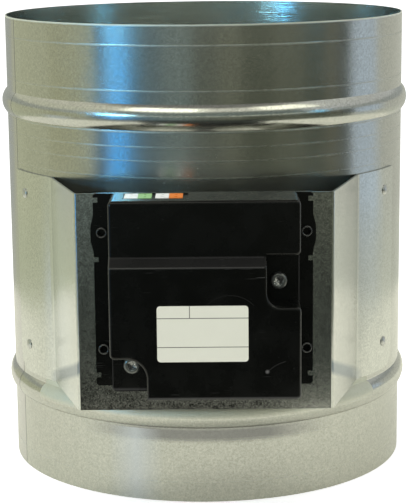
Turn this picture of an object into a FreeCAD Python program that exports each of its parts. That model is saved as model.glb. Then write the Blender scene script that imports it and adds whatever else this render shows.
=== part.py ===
import FreeCAD, Part
import math
import os
import re

import Sketcher
from FreeCAD import Placement, Rotation, Vector

# Round duct damper with a motor housing on a folded bracket. Millimetres, +Z up along the duct,
# origin at the centre of the lower rim, motor housing on the -Y side. "Depth" is the distance
# from the duct axis towards -Y, so a larger depth is nearer to the front.

os.makedirs("parts", exist_ok=True)
document = FreeCAD.newDocument("RoundDuctDamper")
sheet = document.addObject("Spreadsheet::Sheet", "Sizes")

SIZES = {
    # Round duct with two rolled stop beads
    "duct_radius": 99.5,
    "duct_wall": 0.7,
    "spigot_length": 42.0,
    "bead_spacing": 140.0,
    "bead_width": 12.0,
    "bead_height": 2.6,
    # Clearances
    "running_gap": 0.05,
    "fit_gap": 0.05,
    "seat_gap": 0.1,
    "moving_gap": 0.4,
    # Blade
    "shaft_radius": 6.0,
    "blade_gap": 0.4,
    "seal_thickness": 2.0,
    "seal_lip": 5.5,
    "seal_grip": 13.0,
    "disc_sheet": 0.9,
    "blade_rivet_radius": 2.0,
    "blade_rivet_head": 3.6,
    "blade_rivet_rise": 1.1,
    "blade_rivet_inset": 6.5,
    "shaft_rivet_place": 46.0,
    "channel_inset": 2.0,
    # Shaft bushings and clip
    "bush_neck_radius": 8.0,
    "bush_flange_radius": 12.0,
    "bush_flange_rise": 3.0,
    "plate_bush_flange": 1.5,
    "clip_radius": 9.0,
    "clip_sheet": 1.0,
    "shaft_end": 1.2,
    # Folded bracket
    "plate_standoff": 18.5,
    "plate_side_margin": 8.7,
    "bracket_sheet": 1.0,
    "bracket_bead_gap": 3.0,
    "bracket_rise": 39.0,
    "bend_radius": 2.0,
    "foot_fold": 46.5,
    "foot_spread": 19.5,
    "foot_bend_radius": 7.0,
    "wing_corner": 9.0,
    "wing_rivet_inset": 10.5,
    "wing_rivet_top": 10.5,
    "wing_rivet_bottom": 13.9,
    "wing_rivet_radius": 1.6,
    "wing_rivet_lip": 0.8,
    "wing_rivet_rim": 0.3,
    "wing_rivet_dome": 0.7,
    "rivet_tail_lip": 0.6,
    "rivet_tail_length": 1.5,
    # Tabs that hold the housing on the bracket
    "tab_sheet": 0.9,
    "tab_height": 2.2,
    "tab_hook": 2.2,
    "tab_top_inset": 1.6,
    "tab_middle_drop": 2.2,
    "tab_bottom_inset": 4.2,
    # Housing base
    "base_thickness": 3.0,
    "base_left": 49.3,
    "base_right": 48.5,
    "base_top": 39.5,
    "base_bottom": 48.5,
    "base_corner": 1.5,
    "bulge_low": 13.2,
    "bulge_high": 29.4,
    "bulge_out": 1.3,
    "bulge_ramp": 4.8,
    "bulge_round": 10.0,
    "shaft_way_gap": 1.5,
    "boss_radius": 2.6,
    "boss_rise": 0.8,
    "boss_hole": 1.6,
    "boss_hole_floor": 0.4,
    "boss_shift_right": 0.4,
    "boss_shift_left": 0.2,
    "boss_high": 22.0,
    "boss_low": 31.4,
    "post_radius": 4.0,
    "board_post_radius": 2.0,
    "board_post_inset": 3.0,
    "board_post_drop": 6.0,
    # Housing cover
    "cover_left": 41.5,
    "cover_right": 42.0,
    "cover_top": 39.6,
    "cover_bottom": 48.2,
    "cover_wall": 2.0,
    "floor_depth": 11.0,
    "upper_rise": 11.0,
    "main_rise": 5.0,
    "step_high": 15.2,
    "step_slope": 4.0,
    "right_pocket_left": 27.1,
    "right_pocket_low": 6.6,
    "right_pocket_corner": 6.0,
    "left_pocket_right": 25.5,
    "left_pocket_low": 29.7,
    "left_pocket_corner": 9.0,
    "cover_corner": 2.2,
    "cover_edge": 1.4,
    "slope_end_round": 1.0,
    # Cover screws
    "upper_screw_right": 32.6,
    "upper_screw_high": 2.1,
    "lower_screw_left": 32.5,
    "lower_screw_low": 35.9,
    "screw_radius": 1.6,
    "screw_head_radius": 3.85,
    "screw_head_height": 2.6,
    "screw_head_dome": 1.5,
    "screw_length": 9.0,
    "hole_spare": 0.5,
    "screw_slot_width": 0.9,
    "screw_slot_length": 4.4,
    "screw_slot_depth": 1.5,
    # Label
    "label_left": 20.7,
    "label_width": 39.7,
    "label_low": 30.6,
    "label_height": 25.0,
    "label_thickness": 0.2,
    "label_corner": 1.5,
    # Terminals
    "window_left": 35.3,
    "window_right": 6.8,
    "window_depth": 15.0,
    "block_height": 14.0,
    "block_floor": 2.0,
    "block_top_gap": 0.6,
    "plug_width": 5.95,
    "plug_depth": 11.8,
    "plug_first_left": 34.8,
    "plug_pair_gap": 1.6,
    "plug_back_gap": 0.7,
    "plug_hole_radius": 0.8,
    "plug_hole_length": 5.0,
    "pin_radius": 0.5,
    "pin_pitch": 2.8,
    "pin_length": 7.0,
    "pin_tail": 1.0,
    "header_inset": 1.0,
    "header_height": 4.0,
    "header_depth": 5.0,
    # Circuit board
    "board_back": 10.0,
    "board_thickness": 1.6,
    "board_low": 6.0,
    "board_high": 24.6,
    "board_left": 38.0,
    "board_side_gap": 0.6,
    "chip_left": 6.0,
    "chip_high": 12.0,
    "chip_size": 9.0,
    "chip_thickness": 1.4,
    "capacitor_radius": 4.0,
    "capacitor_length": 7.0,
    "capacitor_inset": 7.0,
    "capacitor_high": 6.0,
    # Gear train
    "output_module": 0.8,
    "second_module": 0.6,
    "first_module": 0.5,
    "tooth_slack": 0.16,
    "output_gear_back": 2.0,
    "output_gear_width": 5.0,
    "output_hub_radius": 9.0,
    "output_hub_rise": 2.0,
    "second_wheel_back": 12.5,
    "second_wheel_width": 2.5,
    "first_pinion_back": 12.2,
    "first_wheel_back": 17.0,
    "first_wheel_width": 2.5,
    "first_sleeve_radius": 2.5,
    "axle_radius": 1.5,
    "axle_clip_radius": 3.0,
    "axle_clip_sheet": 0.8,
    "axle_tail": 0.3,
    "motor_radius": 10.0,
    "motor_length": 11.2,
    "motor_shaft_radius": 1.0,
    "motor_shaft_grip": 4.0,
    "motor_nose_radius": 3.0,
    "motor_nose_rise": 1.0,
    "motor_pinion_margin": 0.3,
    "second_gear_angle": 215.0,
    "first_gear_angle": 300.0,
    "motor_angle": 330.0,
}

# Sizes that follow from the driving ones
DERIVED = {
    "duct_length": "2 * spigot_length + bead_spacing",
    "axis_height": "duct_length / 2",
    "duct_inside": "duct_radius - duct_wall",
    "bead_arc": "(bead_width^2 / 4 + bead_height^2) / (2 * bead_height)",
    "bead_arc_inside": "bead_arc - duct_wall",
    "blade_radius": "duct_inside - blade_gap",
    "disc_radius": "blade_radius - seal_lip",
    "seal_inside": "disc_radius - seal_grip",
    "disc_face": "seal_thickness / 2",
    "channel_inside": "shaft_radius + fit_gap",
    "channel_outside": "channel_inside + disc_sheet",
    "bush_bore": "shaft_radius + running_gap",
    "plate_half_width": "max(base_left; base_right) + plate_side_margin",
    "plate_front": "duct_radius + plate_standoff",
    "plate_back": "plate_front - bracket_sheet",
    "bracket_low": "spigot_length + bead_width / 2 + bracket_bead_gap",
    "bracket_high": "axis_height + bracket_rise",
    "wing_reach": "duct_radius + seat_gap + bracket_sheet",
    "foot_inside": "wing_reach - bracket_sheet",
    "fold_angle": "foot_fold * 1 deg",
    "tip_angle": "(foot_fold + foot_spread) * 1 deg",
    "rivet_angle": "tip_angle - wing_rivet_inset / wing_reach * 1 rad",
    "fold_out": "wing_reach * sin(fold_angle) - plate_half_width",
    "fold_back": "plate_front - wing_reach * cos(fold_angle)",
    "side_lean": "atan2(fold_out; fold_back)",
    "side_reach": "wing_reach * sin(fold_angle + side_lean)",
    "inner_fold_angle": "asin((side_reach - bracket_sheet) / foot_inside) - side_lean",
    "wing_rivet_head": "wing_rivet_radius + wing_rivet_lip",
    "wing_rivet_tail": "wing_rivet_radius + rivet_tail_lip",
    "dome_arc": "(wing_rivet_head^2 + wing_rivet_dome^2) / (2 * wing_rivet_dome)",
    "flange_front": "plate_front + base_thickness",
    "upper_depth": "floor_depth + upper_rise",
    "main_depth": "upper_depth + main_rise",
    "floor_front": "flange_front + floor_depth",
    "upper_front": "flange_front + upper_depth",
    "main_front": "flange_front + main_depth",
    "block_low": "axis_height + cover_top - block_height - seat_gap",
    "block_front": "flange_front + window_depth - seat_gap",
    "plug_back": "flange_front + plug_back_gap",
    "plug_low": "block_low + block_floor + seat_gap",
    "plug_high": "axis_height + cover_top - seat_gap",
    "board_front": "flange_front + board_back + board_thickness",
    "board_right": "right_pocket_left - cover_wall - board_side_gap",
    "shaft_front": "flange_front + output_gear_back + output_gear_width + output_hub_rise",
    "bush_outside": "duct_radius + bush_flange_rise",
}

# Tooth counts of the reduction, which set the ratios of the couplings
OUTPUT_TEETH = 48
SECOND_TEETH = 36
FIRST_TEETH = 48
PINION_TEETH = 12
BLADE_RIVETS = 8

HALF_TURN = 180
# How far a shape that cuts reaches past the material
PAST = 1.0
THROUGH_SHARE = 1.5
# Share of a pocket's corner radius that is cut off the cavity behind it
POCKET_CUT_SHARE = 0.6
# Places of the two wire entries across the depth of a plug
ENTRY_SHARES = (0.27, 0.73)
# Stub teeth: height above the pitch circle and start of the flank, in modules
TOOTH_RISE = 0.75
FLANK_START = 0.1

for row, (alias, number) in enumerate(SIZES.items(), start=1):
    sheet.set(f"A{row}", alias)
    sheet.set(f"B{row}", str(number))
    sheet.setAlias(f"B{row}", alias)
document.recompute()


def formula(text):
    """Write a formula of size names as an expression on the sheet."""
    def expand(match):
        word = match.group()
        if word in DERIVED:
            return "(" + formula(DERIVED[word]) + ")"
        return "Sizes." + word if word in SIZES else word
    return re.sub(r"[a-z][a-z_]*[a-z]", expand, str(text))


def value(text):
    """Work out a formula of size names as a plain number."""
    answer = sheet.evalExpression(formula(text).replace("Sizes.", ""))
    return float(getattr(answer, "Value", answer))


def below(text):
    """Negate a formula."""
    return f"0 - ({text})"


# Sketches and part design features

def new_body(name):
    body = document.addObject("PartDesign::Body", name)
    body.Label = name
    return body


def origin_feature(body, role):
    return next(item for item in body.Origin.OriginFeatures if item.Role == role)


def new_sketch(body, name, role, offset="0"):
    """Start a sketch on an origin plane; on XZ_Plane the offset is a depth towards -Y."""
    sketch = body.newObject("Sketcher::SketchObject", name)
    sketch.AttachmentSupport = [(origin_feature(body, role), "")]
    sketch.MapMode = "FlatFace"
    sketch.setExpression("AttachmentOffset.Base.z", formula(offset))
    return sketch


def bind(sketch, constraint, text):
    index = sketch.addConstraint(constraint)
    sketch.setExpression(f"Constraints[{index}]", formula(text))


def add_outline(sketch, points, arcs=()):
    """Draw a closed outline; arcs maps the number of a side to (radius formula, bulge side)."""
    arcs = dict(arcs)
    first = sketch.GeometryCount
    count = len(points)
    places = [Vector(value(x), value(y), 0) for x, y in points]
    ends = []
    for side in range(count):
        start, end = places[side], places[(side + 1) % count]
        if side not in arcs:
            sketch.addGeometry(Part.LineSegment(start, end))
            ends.append((1, 2))
            continue
        radius, bulge = arcs[side]
        across = (end - start).cross(Vector(0, 0, 1)).normalize()
        half = (end - start).Length / 2
        rise = value(radius) - math.sqrt(value(radius) ** 2 - half ** 2)
        middle = (start + end) / 2 + across * rise * bulge
        forward = bulge > 0
        sketch.addGeometry(Part.Arc(start, middle, end) if forward else Part.Arc(end, middle, start))
        ends.append((1, 2) if forward else (2, 1))
    for side in range(count):
        after = (side + 1) % count
        corner = (first + side, ends[side][1], first + after, ends[after][0])
        sketch.addConstraint(Sketcher.Constraint("Coincident", *corner))
    for side, (x, y) in enumerate(points):
        place, start = places[side], ends[side][0]
        bind(sketch, Sketcher.Constraint("DistanceX", -1, 1, first + side, start, place.x), x)
        bind(sketch, Sketcher.Constraint("DistanceY", -1, 1, first + side, start, place.y), y)
    for side, (radius, bulge) in arcs.items():
        bind(sketch, Sketcher.Constraint("Radius", first + side, value(radius)), radius)


def add_rectangle(sketch, left, right, low, high):
    add_outline(sketch, [(left, low), (right, low), (right, high), (left, high)])


def add_circle(sketch, x, y, radius):
    number = sketch.GeometryCount
    centre = Vector(value(x), value(y), 0)
    sketch.addGeometry(Part.Circle(centre, Vector(0, 0, 1), value(radius)))
    bind(sketch, Sketcher.Constraint("DistanceX", -1, 1, number, 3, centre.x), x)
    bind(sketch, Sketcher.Constraint("DistanceY", -1, 1, number, 3, centre.y), y)
    bind(sketch, Sketcher.Constraint("Radius", number, value(radius)), radius)


def pad(body, sketch, length, reverse=False):
    feature = body.newObject("PartDesign::Pad", sketch.Name + "_pad")
    feature.Profile = sketch
    feature.Reversed = reverse
    feature.setExpression("Length", formula(length))
    document.recompute()
    return feature


def pocket(body, sketch, length, reverse=False, midplane=False):
    """Cut a sketch into a body and make sure that it removed something."""
    before = body.Shape.Volume
    feature = body.newObject("PartDesign::Pocket", sketch.Name + "_pocket")
    feature.Profile = sketch
    feature.Reversed = reverse
    feature.Midplane = midplane
    feature.setExpression("Length", formula(length))
    document.recompute()
    if body.Shape.Volume > before - 1e-6:
        raise RuntimeError(sketch.Name + " cuts nothing")
    return feature


def revolve(body, sketch, axis="V_Axis"):
    feature = body.newObject("PartDesign::Revolution", sketch.Name + "_turn")
    feature.Profile = sketch
    feature.ReferenceAxis = (sketch, [axis])
    feature.Angle = 360
    document.recompute()
    return feature


def dress(body, kind, name, size, chosen):
    """Fillet or chamfer the edges that the chosen test picks."""
    base = body.Tip
    names = [f"Edge{number}" for number, edge in enumerate(base.Shape.Edges, start=1) if chosen(edge)]
    if not names:
        raise RuntimeError(name + " finds no edges")
    feature = body.newObject("PartDesign::" + kind, name)
    feature.Base = (base, names)
    feature.setExpression("Radius" if kind == "Fillet" else "Size", formula(size))
    document.recompute()
    return feature


def close(one, other):
    return abs(one - other) < 1e-4


def along(edge, direction):
    """Tell whether an edge is straight and runs along a direction."""
    if not isinstance(edge.Curve, Part.Line):
        return False
    return abs(abs(edge.Curve.Direction.dot(direction)) - 1) < 1e-6


def middle_of(edge):
    return edge.valueAt((edge.FirstParameter + edge.LastParameter) / 2)


# Part primitives and booleans

TOWARDS_FRONT = Rotation(Vector(1, 0, 0), 90)
TOWARDS_RIGHT = Rotation(Vector(0, 1, 0), 90)
UPRIGHT = Rotation()


def place(item, x, y, z, turn=UPRIGHT):
    item.Placement = Placement(Vector(), turn)
    for letter, text in zip("xyz", (x, y, z)):
        item.setExpression("Placement.Base." + letter, formula(text))
    return item


def rod(name, radius, back, front, x="0", z="axis_height"):
    """A cylinder along Y between two depths."""
    item = document.addObject("Part::Cylinder", name)
    item.setExpression("Radius", formula(radius))
    item.setExpression("Height", formula(f"({front}) - ({back})"))
    return place(item, x, below(back), z, TOWARDS_FRONT)


def upright_rod(name, radius, low, high, x, y):
    item = document.addObject("Part::Cylinder", name)
    item.setExpression("Radius", formula(radius))
    item.setExpression("Height", formula(f"({high}) - ({low})"))
    return place(item, x, y, low)


def cross_rod(name, radius, left, right, y, z):
    """A cylinder along X."""
    item = document.addObject("Part::Cylinder", name)
    item.setExpression("Radius", formula(radius))
    item.setExpression("Height", formula(f"({right}) - ({left})"))
    return place(item, left, y, z, TOWARDS_RIGHT)


def block(name, left, right, back, front, low, high):
    """A box between two depths."""
    item = document.addObject("Part::Box", name)
    item.setExpression("Length", formula(f"({right}) - ({left})"))
    item.setExpression("Width", formula(f"({front}) - ({back})"))
    item.setExpression("Height", formula(f"({high}) - ({low})"))
    return place(item, left, below(front), low)


def joined(name, items):
    fuse = document.addObject("Part::MultiFuse", name)
    fuse.Shapes = items
    return fuse


def group(name, items):
    """Separate like solids that share one node."""
    compound = document.addObject("Part::Compound", name)
    compound.Links = items
    return compound


def cut(name, base, tools):
    result = document.addObject("Part::Cut", name)
    result.Base = base
    result.Tool = tools[0] if len(tools) == 1 else joined(name + "_tools", tools)
    return result


def shaped(name, shape):
    """A solid drawn by formula, where neither sketches nor primitives fit."""
    item = document.addObject("Part::Feature", name)
    item.Shape = shape
    return item


# Duct

def make_duct_tube():
    """Thin tube with two rolled beads; the bead is the same sheet, pushed out."""
    body = new_body("duct_tube")
    low_bead = "spigot_length"
    high_bead = "duct_length - spigot_length"
    half = "bead_width / 2"
    inner_half = "sqrt(bead_arc_inside^2 - (bead_arc - bead_height + duct_wall)^2)"
    inside, outside = "duct_inside", "duct_radius"
    section = new_sketch(body, "duct_section", "XZ_Plane")
    points = [
        (inside, "0"),
        (outside, "0"),
        (outside, f"{low_bead} - {half}"),
        (outside, f"{low_bead} + {half}"),
        (outside, f"{high_bead} - {half}"),
        (outside, f"{high_bead} + {half}"),
        (outside, "duct_length"),
        (inside, "duct_length"),
        (inside, f"{high_bead} + {half}"),
        (inside, f"{high_bead} - {half}"),
        (inside, f"{low_bead} + {half}"),
        (inside, f"{low_bead} - {half}"),
    ]
    arcs = {2: ("bead_arc", 1), 4: ("bead_arc", 1), 8: ("bead_arc", -1), 10: ("bead_arc", -1)}
    add_outline(section, points, arcs)
    revolve(body, section)
    holes = new_sketch(body, "shaft_holes", "XZ_Plane")
    add_circle(holes, "0", "axis_height", "bush_neck_radius + fit_gap")
    pocket(body, holes, "4 * duct_radius", midplane=True)
    cut_wing_rivet_holes(body, f"duct_inside - {PAST}", "duct_rivet_hole")
    return body


def foot_sketch(body, name, height, side):
    """A level sketch whose X axis runs out of the duct through the rivets of one foot."""
    sketch = new_sketch(body, name, "XY_Plane", height)
    angle = "rivet_angle - 90 deg" if side > 0 else "270 deg - rivet_angle"
    sketch.AttachmentOffset = Placement(Vector(), Rotation(Vector(0, 0, 1), value(angle)))
    sketch.setExpression("AttachmentOffset.Base.z", formula(height))
    sketch.setExpression("AttachmentOffset.Rotation.Angle", formula(angle))
    return sketch


def wing_rivet_heights():
    return ["bracket_high - wing_rivet_top", "bracket_low + wing_rivet_bottom"]


def cut_wing_rivet_holes(body, start, name):
    """Turn a narrow groove out of the sheet round each rivet's axis."""
    number = 0
    for side in (1, -1):
        for height in wing_rivet_heights():
            number += 1
            sketch = foot_sketch(body, f"{name}_{number}", height, side)
            add_rectangle(sketch, start, f"wing_reach + {PAST}", "0", "wing_rivet_radius + fit_gap")
            before = body.Shape.Volume
            groove = body.newObject("PartDesign::Groove", sketch.Name + "_turn")
            groove.Profile = sketch
            groove.ReferenceAxis = (sketch, ["H_Axis"])
            groove.Angle = 360
            document.recompute()
            if body.Shape.Volume > before - 1e-6:
                raise RuntimeError(sketch.Name + " cuts nothing")


# Blade

def make_blade_shaft():
    body = new_body("blade_shaft")
    section = new_sketch(body, "shaft_section", "XZ_Plane", "shaft_front")
    add_circle(section, "0", "axis_height", "shaft_radius")
    rear_end = "bush_outside + moving_gap + clip_sheet + shaft_end"
    pad(body, section, f"shaft_front + {rear_end}", reverse=True)
    dress(body, "Chamfer", "shaft_chamfer", "shaft_end / 2", lambda edge: edge.Closed)
    cut_holes = new_sketch(body, "shaft_rivet_holes", "YZ_Plane")
    for side in ("shaft_rivet_place", below("shaft_rivet_place")):
        add_circle(cut_holes, side, "axis_height", "blade_rivet_radius + fit_gap")
    pocket(body, cut_holes, "4 * shaft_radius", midplane=True)
    return body


def rivet_places():
    """Angles of the blade rivets round the disc, clear of the shaft."""
    step = 360 / BLADE_RIVETS
    return [step * (number + 0.5) for number in range(BLADE_RIVETS)]


def rivet_spot(angle):
    reach = "(disc_radius - blade_rivet_inset)"
    return f"{reach} * cos({angle}deg)", f"axis_height + {reach} * sin({angle}deg)"


def make_blade_disc(name, side):
    """A pressed disc with a half-round channel that lies over the shaft."""
    low, high = ("disc_face", "disc_face + disc_sheet")
    if side < 0:
        low, high = below(high), below("disc_face")
    plate = cross_rod(name + "_plate", "disc_radius", low, high, "0", "axis_height")
    reach = "disc_radius - channel_inset"
    channel = rod(name + "_channel", "channel_outside", below(reach), reach)
    keep = block(name + "_keep", low if side > 0 else below("2 * channel_outside"),
                 "2 * channel_outside" if side > 0 else high,
                 below("duct_radius"), "duct_radius", "0", "duct_length")
    half = document.addObject("Part::Common", name + "_half_channel")
    half.Base, half.Tool = channel, keep
    pressed = joined(name + "_pressed", [plate, half])
    tools = [rod(name + "_shaft_way", "channel_inside", below("duct_radius"), "duct_radius")]
    for number, angle in enumerate(rivet_places()):
        y, z = rivet_spot(angle)
        tools.append(cross_rod(f"{name}_hole_{number}", "blade_rivet_radius + fit_gap",
                               below("duct_radius"), "duct_radius", y, z))
    for number, y in enumerate(("shaft_rivet_place", below("shaft_rivet_place"))):
        tools.append(cross_rod(f"{name}_shaft_hole_{number}", "blade_rivet_radius + fit_gap",
                               below("duct_radius"), "duct_radius", y, "axis_height"))
    return cut(name, pressed, tools)


def make_blade_seal():
    """Rubber ring clamped between the discs, parted where the shaft passes."""
    half = "seal_thickness / 2"
    ring = cross_rod("seal_ring", "blade_radius", below(half), half, "0", "axis_height")
    tools = [
        cross_rod("seal_middle", "seal_inside", below("duct_radius"), "duct_radius", "0", "axis_height"),
        rod("seal_shaft_way", "channel_inside", below("duct_radius"), "duct_radius"),
    ]
    for number, angle in enumerate(rivet_places()):
        y, z = rivet_spot(angle)
        tools.append(cross_rod(f"seal_hole_{number}", "blade_rivet_radius + fit_gap",
                               below("duct_radius"), "duct_radius", y, z))
    return cut("blade_seal", ring, tools)


def through_rivet(name, reach, y, z):
    """A rivet along X with a flat head on each side."""
    head_end = f"{reach} + blade_rivet_rise"
    return joined(name, [
        cross_rod(name + "_shank", "blade_rivet_radius", below(head_end), head_end, y, z),
        cross_rod(name + "_right_head", "blade_rivet_head", reach, head_end, y, z),
        cross_rod(name + "_left_head", "blade_rivet_head", below(head_end), below(reach), y, z),
    ])


def make_blade_rivets():
    rivets = []
    for number, angle in enumerate(rivet_places()):
        y, z = rivet_spot(angle)
        rivets.append(through_rivet(f"blade_rivet_{number}", "disc_face + disc_sheet", y, z))
    return group("blade_rivets", rivets)


def make_shaft_rivets():
    """Two rivets through both channels and the shaft, with their heads on the crests of the channels."""
    places = ("shaft_rivet_place", below("shaft_rivet_place"))
    rivets = [through_rivet(f"shaft_rivet_{number}", "channel_outside", y, "axis_height")
              for number, y in enumerate(places)]
    return group("shaft_rivets", rivets)


def make_duct_bushing(name, rear):
    """Plastic bush whose flange is hollowed to lie on the round duct."""
    neck = rod(name + "_neck", "bush_neck_radius", "duct_inside + fit_gap", "bush_outside")
    flange = rod(name + "_flange", "bush_flange_radius", "duct_inside - bush_flange_rise", "bush_outside")
    duct = upright_rod(name + "_duct", "duct_radius + fit_gap", "0", "duct_length", "0", "0")
    cap = cut(name + "_cap", flange, [duct])
    solid = joined(name + "_solid", [neck, cap])
    bush = cut(name, solid, [rod(name + "_bore", "bush_bore", "0", "2 * duct_radius")])
    if rear:
        bush.Placement = Placement(Vector(), Rotation(Vector(0, 0, 1), HALF_TURN))
    return bush


def make_plate_bushing():
    neck = rod("plate_bush_neck", "bush_neck_radius", "plate_back", "plate_front")
    flange = rod("plate_bush_flange", "bush_flange_radius", "plate_back - plate_bush_flange", "plate_back")
    solid = joined("plate_bush_solid", [neck, flange])
    bore = rod("plate_bush_bore", "bush_bore", "duct_radius", "2 * duct_radius")
    return cut("plate_bushing", solid, [bore])


def make_shaft_clip():
    """Spring washer on the rear end of the shaft."""
    back = "bush_outside + moving_gap"
    washer = rod("clip_washer", "clip_radius", back, f"{back} + clip_sheet")
    clip = cut("shaft_clip", washer, [rod("clip_bore", "shaft_radius + fit_gap", "0", "2 * duct_radius")])
    clip.Placement = Placement(Vector(), Rotation(Vector(0, 0, 1), HALF_TURN))
    return clip


# Bracket

def round_spot(radius, angle):
    """A point of the bracket's section, at an angle from the front round the duct."""
    return f"{radius} * sin({angle})", below(f"{radius} * cos({angle})")


def make_bracket():
    """One folded sheet: a front plate, two sides that lean outwards, and two feet on the duct."""
    body = new_body("bracket")
    corner_out = ("plate_half_width", below("plate_front"))
    fold_out, tip_out = round_spot("wing_reach", "fold_angle"), round_spot("wing_reach", "tip_angle")
    tip_in, fold_in = round_spot("foot_inside", "tip_angle"), round_spot("foot_inside", "inner_fold_angle")
    side_step = "bracket_sheet / cos(side_lean) - bracket_sheet * tan(side_lean)"
    corner_in = (f"plate_half_width - ({side_step})", below("plate_back"))
    right = [corner_out, fold_out, tip_out, tip_in, fold_in, corner_in]
    left = [(below(x), y) for x, y in reversed(right)]
    outer_arc, inner_arc = ("wing_reach", 1), ("foot_inside", -1)
    section = new_sketch(body, "bracket_section", "XY_Plane", "bracket_low")
    add_outline(section, right + left, {1: outer_arc, 3: inner_arc, 7: inner_arc, 9: outer_arc})
    pad(body, section, "bracket_high - bracket_low")

    def bend(spot):
        """Pick the two upright edges at a point of the section and its mirror image."""
        x, y = value(spot[0]), value(spot[1])

        def chosen(edge):
            middle = middle_of(edge)
            return along(edge, Vector(0, 0, 1)) and close(abs(middle.x), x) and close(middle.y, y)
        return chosen

    dress(body, "Fillet", "outer_bends", "bend_radius", bend(corner_out))
    dress(body, "Fillet", "inner_bends", "bend_radius - bracket_sheet", bend(corner_in))
    dress(body, "Fillet", "outer_foot_bends", "foot_bend_radius", bend(fold_out))
    dress(body, "Fillet", "inner_foot_bends", "foot_bend_radius + bracket_sheet", bend(fold_in))
    low, half, sheet_width = value("bracket_low"), value("plate_half_width"), value("bracket_sheet")

    def wing_tip(edge):
        spot = middle_of(edge)
        level = close(edge.Vertexes[0].Z, low) and close(edge.Vertexes[-1].Z, low)
        return (isinstance(edge.Curve, Part.Line) and level and close(edge.Length, sheet_width)
                and abs(spot.x) > half)

    dress(body, "Fillet", "lower_wing_corners", "wing_corner", wing_tip)
    hole = new_sketch(body, "plate_shaft_hole", "XZ_Plane", "plate_front")
    add_circle(hole, "0", "axis_height", "bush_neck_radius + fit_gap")
    pocket(body, hole, "2 * bracket_sheet")
    cut_wing_rivet_holes(body, f"foot_inside - {PAST}", "wing_rivet_hole")
    for number, (side, height) in enumerate(tab_places()):
        add_tab(body, number, side, height)
    return body


def tab_places():
    """Sides and heights above the shaft of the tabs, three down each edge of the base."""
    heights = (
        "base_top - tab_top_inset - tab_height",
        "bulge_low - tab_middle_drop - tab_height",
        "0 - base_bottom + tab_bottom_inset",
    )
    return [(side, f"axis_height + {height}") for side in (1, -1) for height in heights]


def add_tab(body, number, side, height):
    """A tab that rises from the plate and hooks over the edge of the base."""
    edge = "base_right" if side > 0 else "base_left"
    root, hook = f"{edge} + seat_gap", f"{edge} - tab_hook"
    outer = f"{edge} + seat_gap + tab_sheet"
    under = "flange_front + seat_gap"
    points = [(root, below("plate_back")), (outer, below("plate_back")),
              (outer, below(f"{under} + tab_sheet")), (hook, below(f"{under} + tab_sheet")),
              (hook, below(under)), (root, below(under))]
    if side < 0:
        points = [(below(x), y) for x, y in points]
    sketch = new_sketch(body, f"tab_section_{number}", "XY_Plane", height)
    add_outline(sketch, points)
    pad(body, sketch, "tab_height")


def make_wing_rivets():
    """Four blind rivets that hold the wings on the duct."""
    body = new_body("wing_rivets")
    tail_front = "duct_inside - fit_gap"
    tail_back = f"{tail_front} - rivet_tail_length"
    rim_front = "wing_reach + wing_rivet_rim"
    points = [
        (tail_back, "0"),
        (tail_back, "wing_rivet_tail"),
        (tail_front, "wing_rivet_tail"),
        (tail_front, "wing_rivet_radius"),
        ("wing_reach", "wing_rivet_radius"),
        ("wing_reach", "wing_rivet_head"),
        (rim_front, "wing_rivet_head"),
        (f"{rim_front} + wing_rivet_dome", "0"),
    ]
    number = 0
    for side in (1, -1):
        for height in wing_rivet_heights():
            number += 1
            sketch = foot_sketch(body, f"wing_rivet_section_{number}", height, side)
            add_outline(sketch, points, {6: ("dome_arc", -1)})
            revolve(body, sketch, "H_Axis")
    return body


# Housing

def base_outline():
    """Corner points of the base flange, with a shallow bulge on each side."""
    high, low = "axis_height + base_top", "axis_height - base_bottom"
    right = [(f"base_right + {out} * bulge_out", rise) for out, rise in bulge_steps()]
    left = [(f"0 - base_left - {out} * bulge_out", rise) for out, rise in reversed(bulge_steps())]
    return ([("0 - base_left", low), ("base_right", low)] + right
            + [("base_right", high), ("0 - base_left", high)] + left)


def bulge_steps():
    """How far out the bulge is, as a share, and the heights of its four corners."""
    return [
        (0, "axis_height + bulge_low"),
        (1, "axis_height + bulge_low + bulge_ramp"),
        (1, "axis_height + bulge_high - bulge_ramp"),
        (0, "axis_height + bulge_high"),
    ]


def gear_spots():
    """Axes of the gears in the XZ plane, each one centre distance from the last."""
    spots = {"output": ("0", "axis_height")}
    steps = [
        ("second", "output", "output_module", OUTPUT_TEETH, "second_gear_angle"),
        ("first", "second", "second_module", SECOND_TEETH, "first_gear_angle"),
        ("motor", "first", "first_module", FIRST_TEETH, "motor_angle"),
    ]
    for name, before, module, teeth, angle in steps:
        x, z = spots[before]
        distance = f"{module} * {(teeth + PINION_TEETH) / 2}"
        turn = f"({angle} * 1 deg)"
        spots[name] = (f"{x} + {distance} * cos({turn})", f"{z} + {distance} * sin({turn})")
    return spots


def screw_spots():
    return {
        "upper": ("upper_screw_right", "axis_height + upper_screw_high"),
        "lower": ("0 - lower_screw_left", "axis_height - lower_screw_low"),
    }


def board_post_spots():
    low, high = "axis_height - board_low + board_post_inset", "axis_height + board_high - board_post_drop"
    left, right = "0 - board_left + board_post_inset", "board_right - board_post_inset"
    return [(left, low), (left, high), (right, high)]


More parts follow.
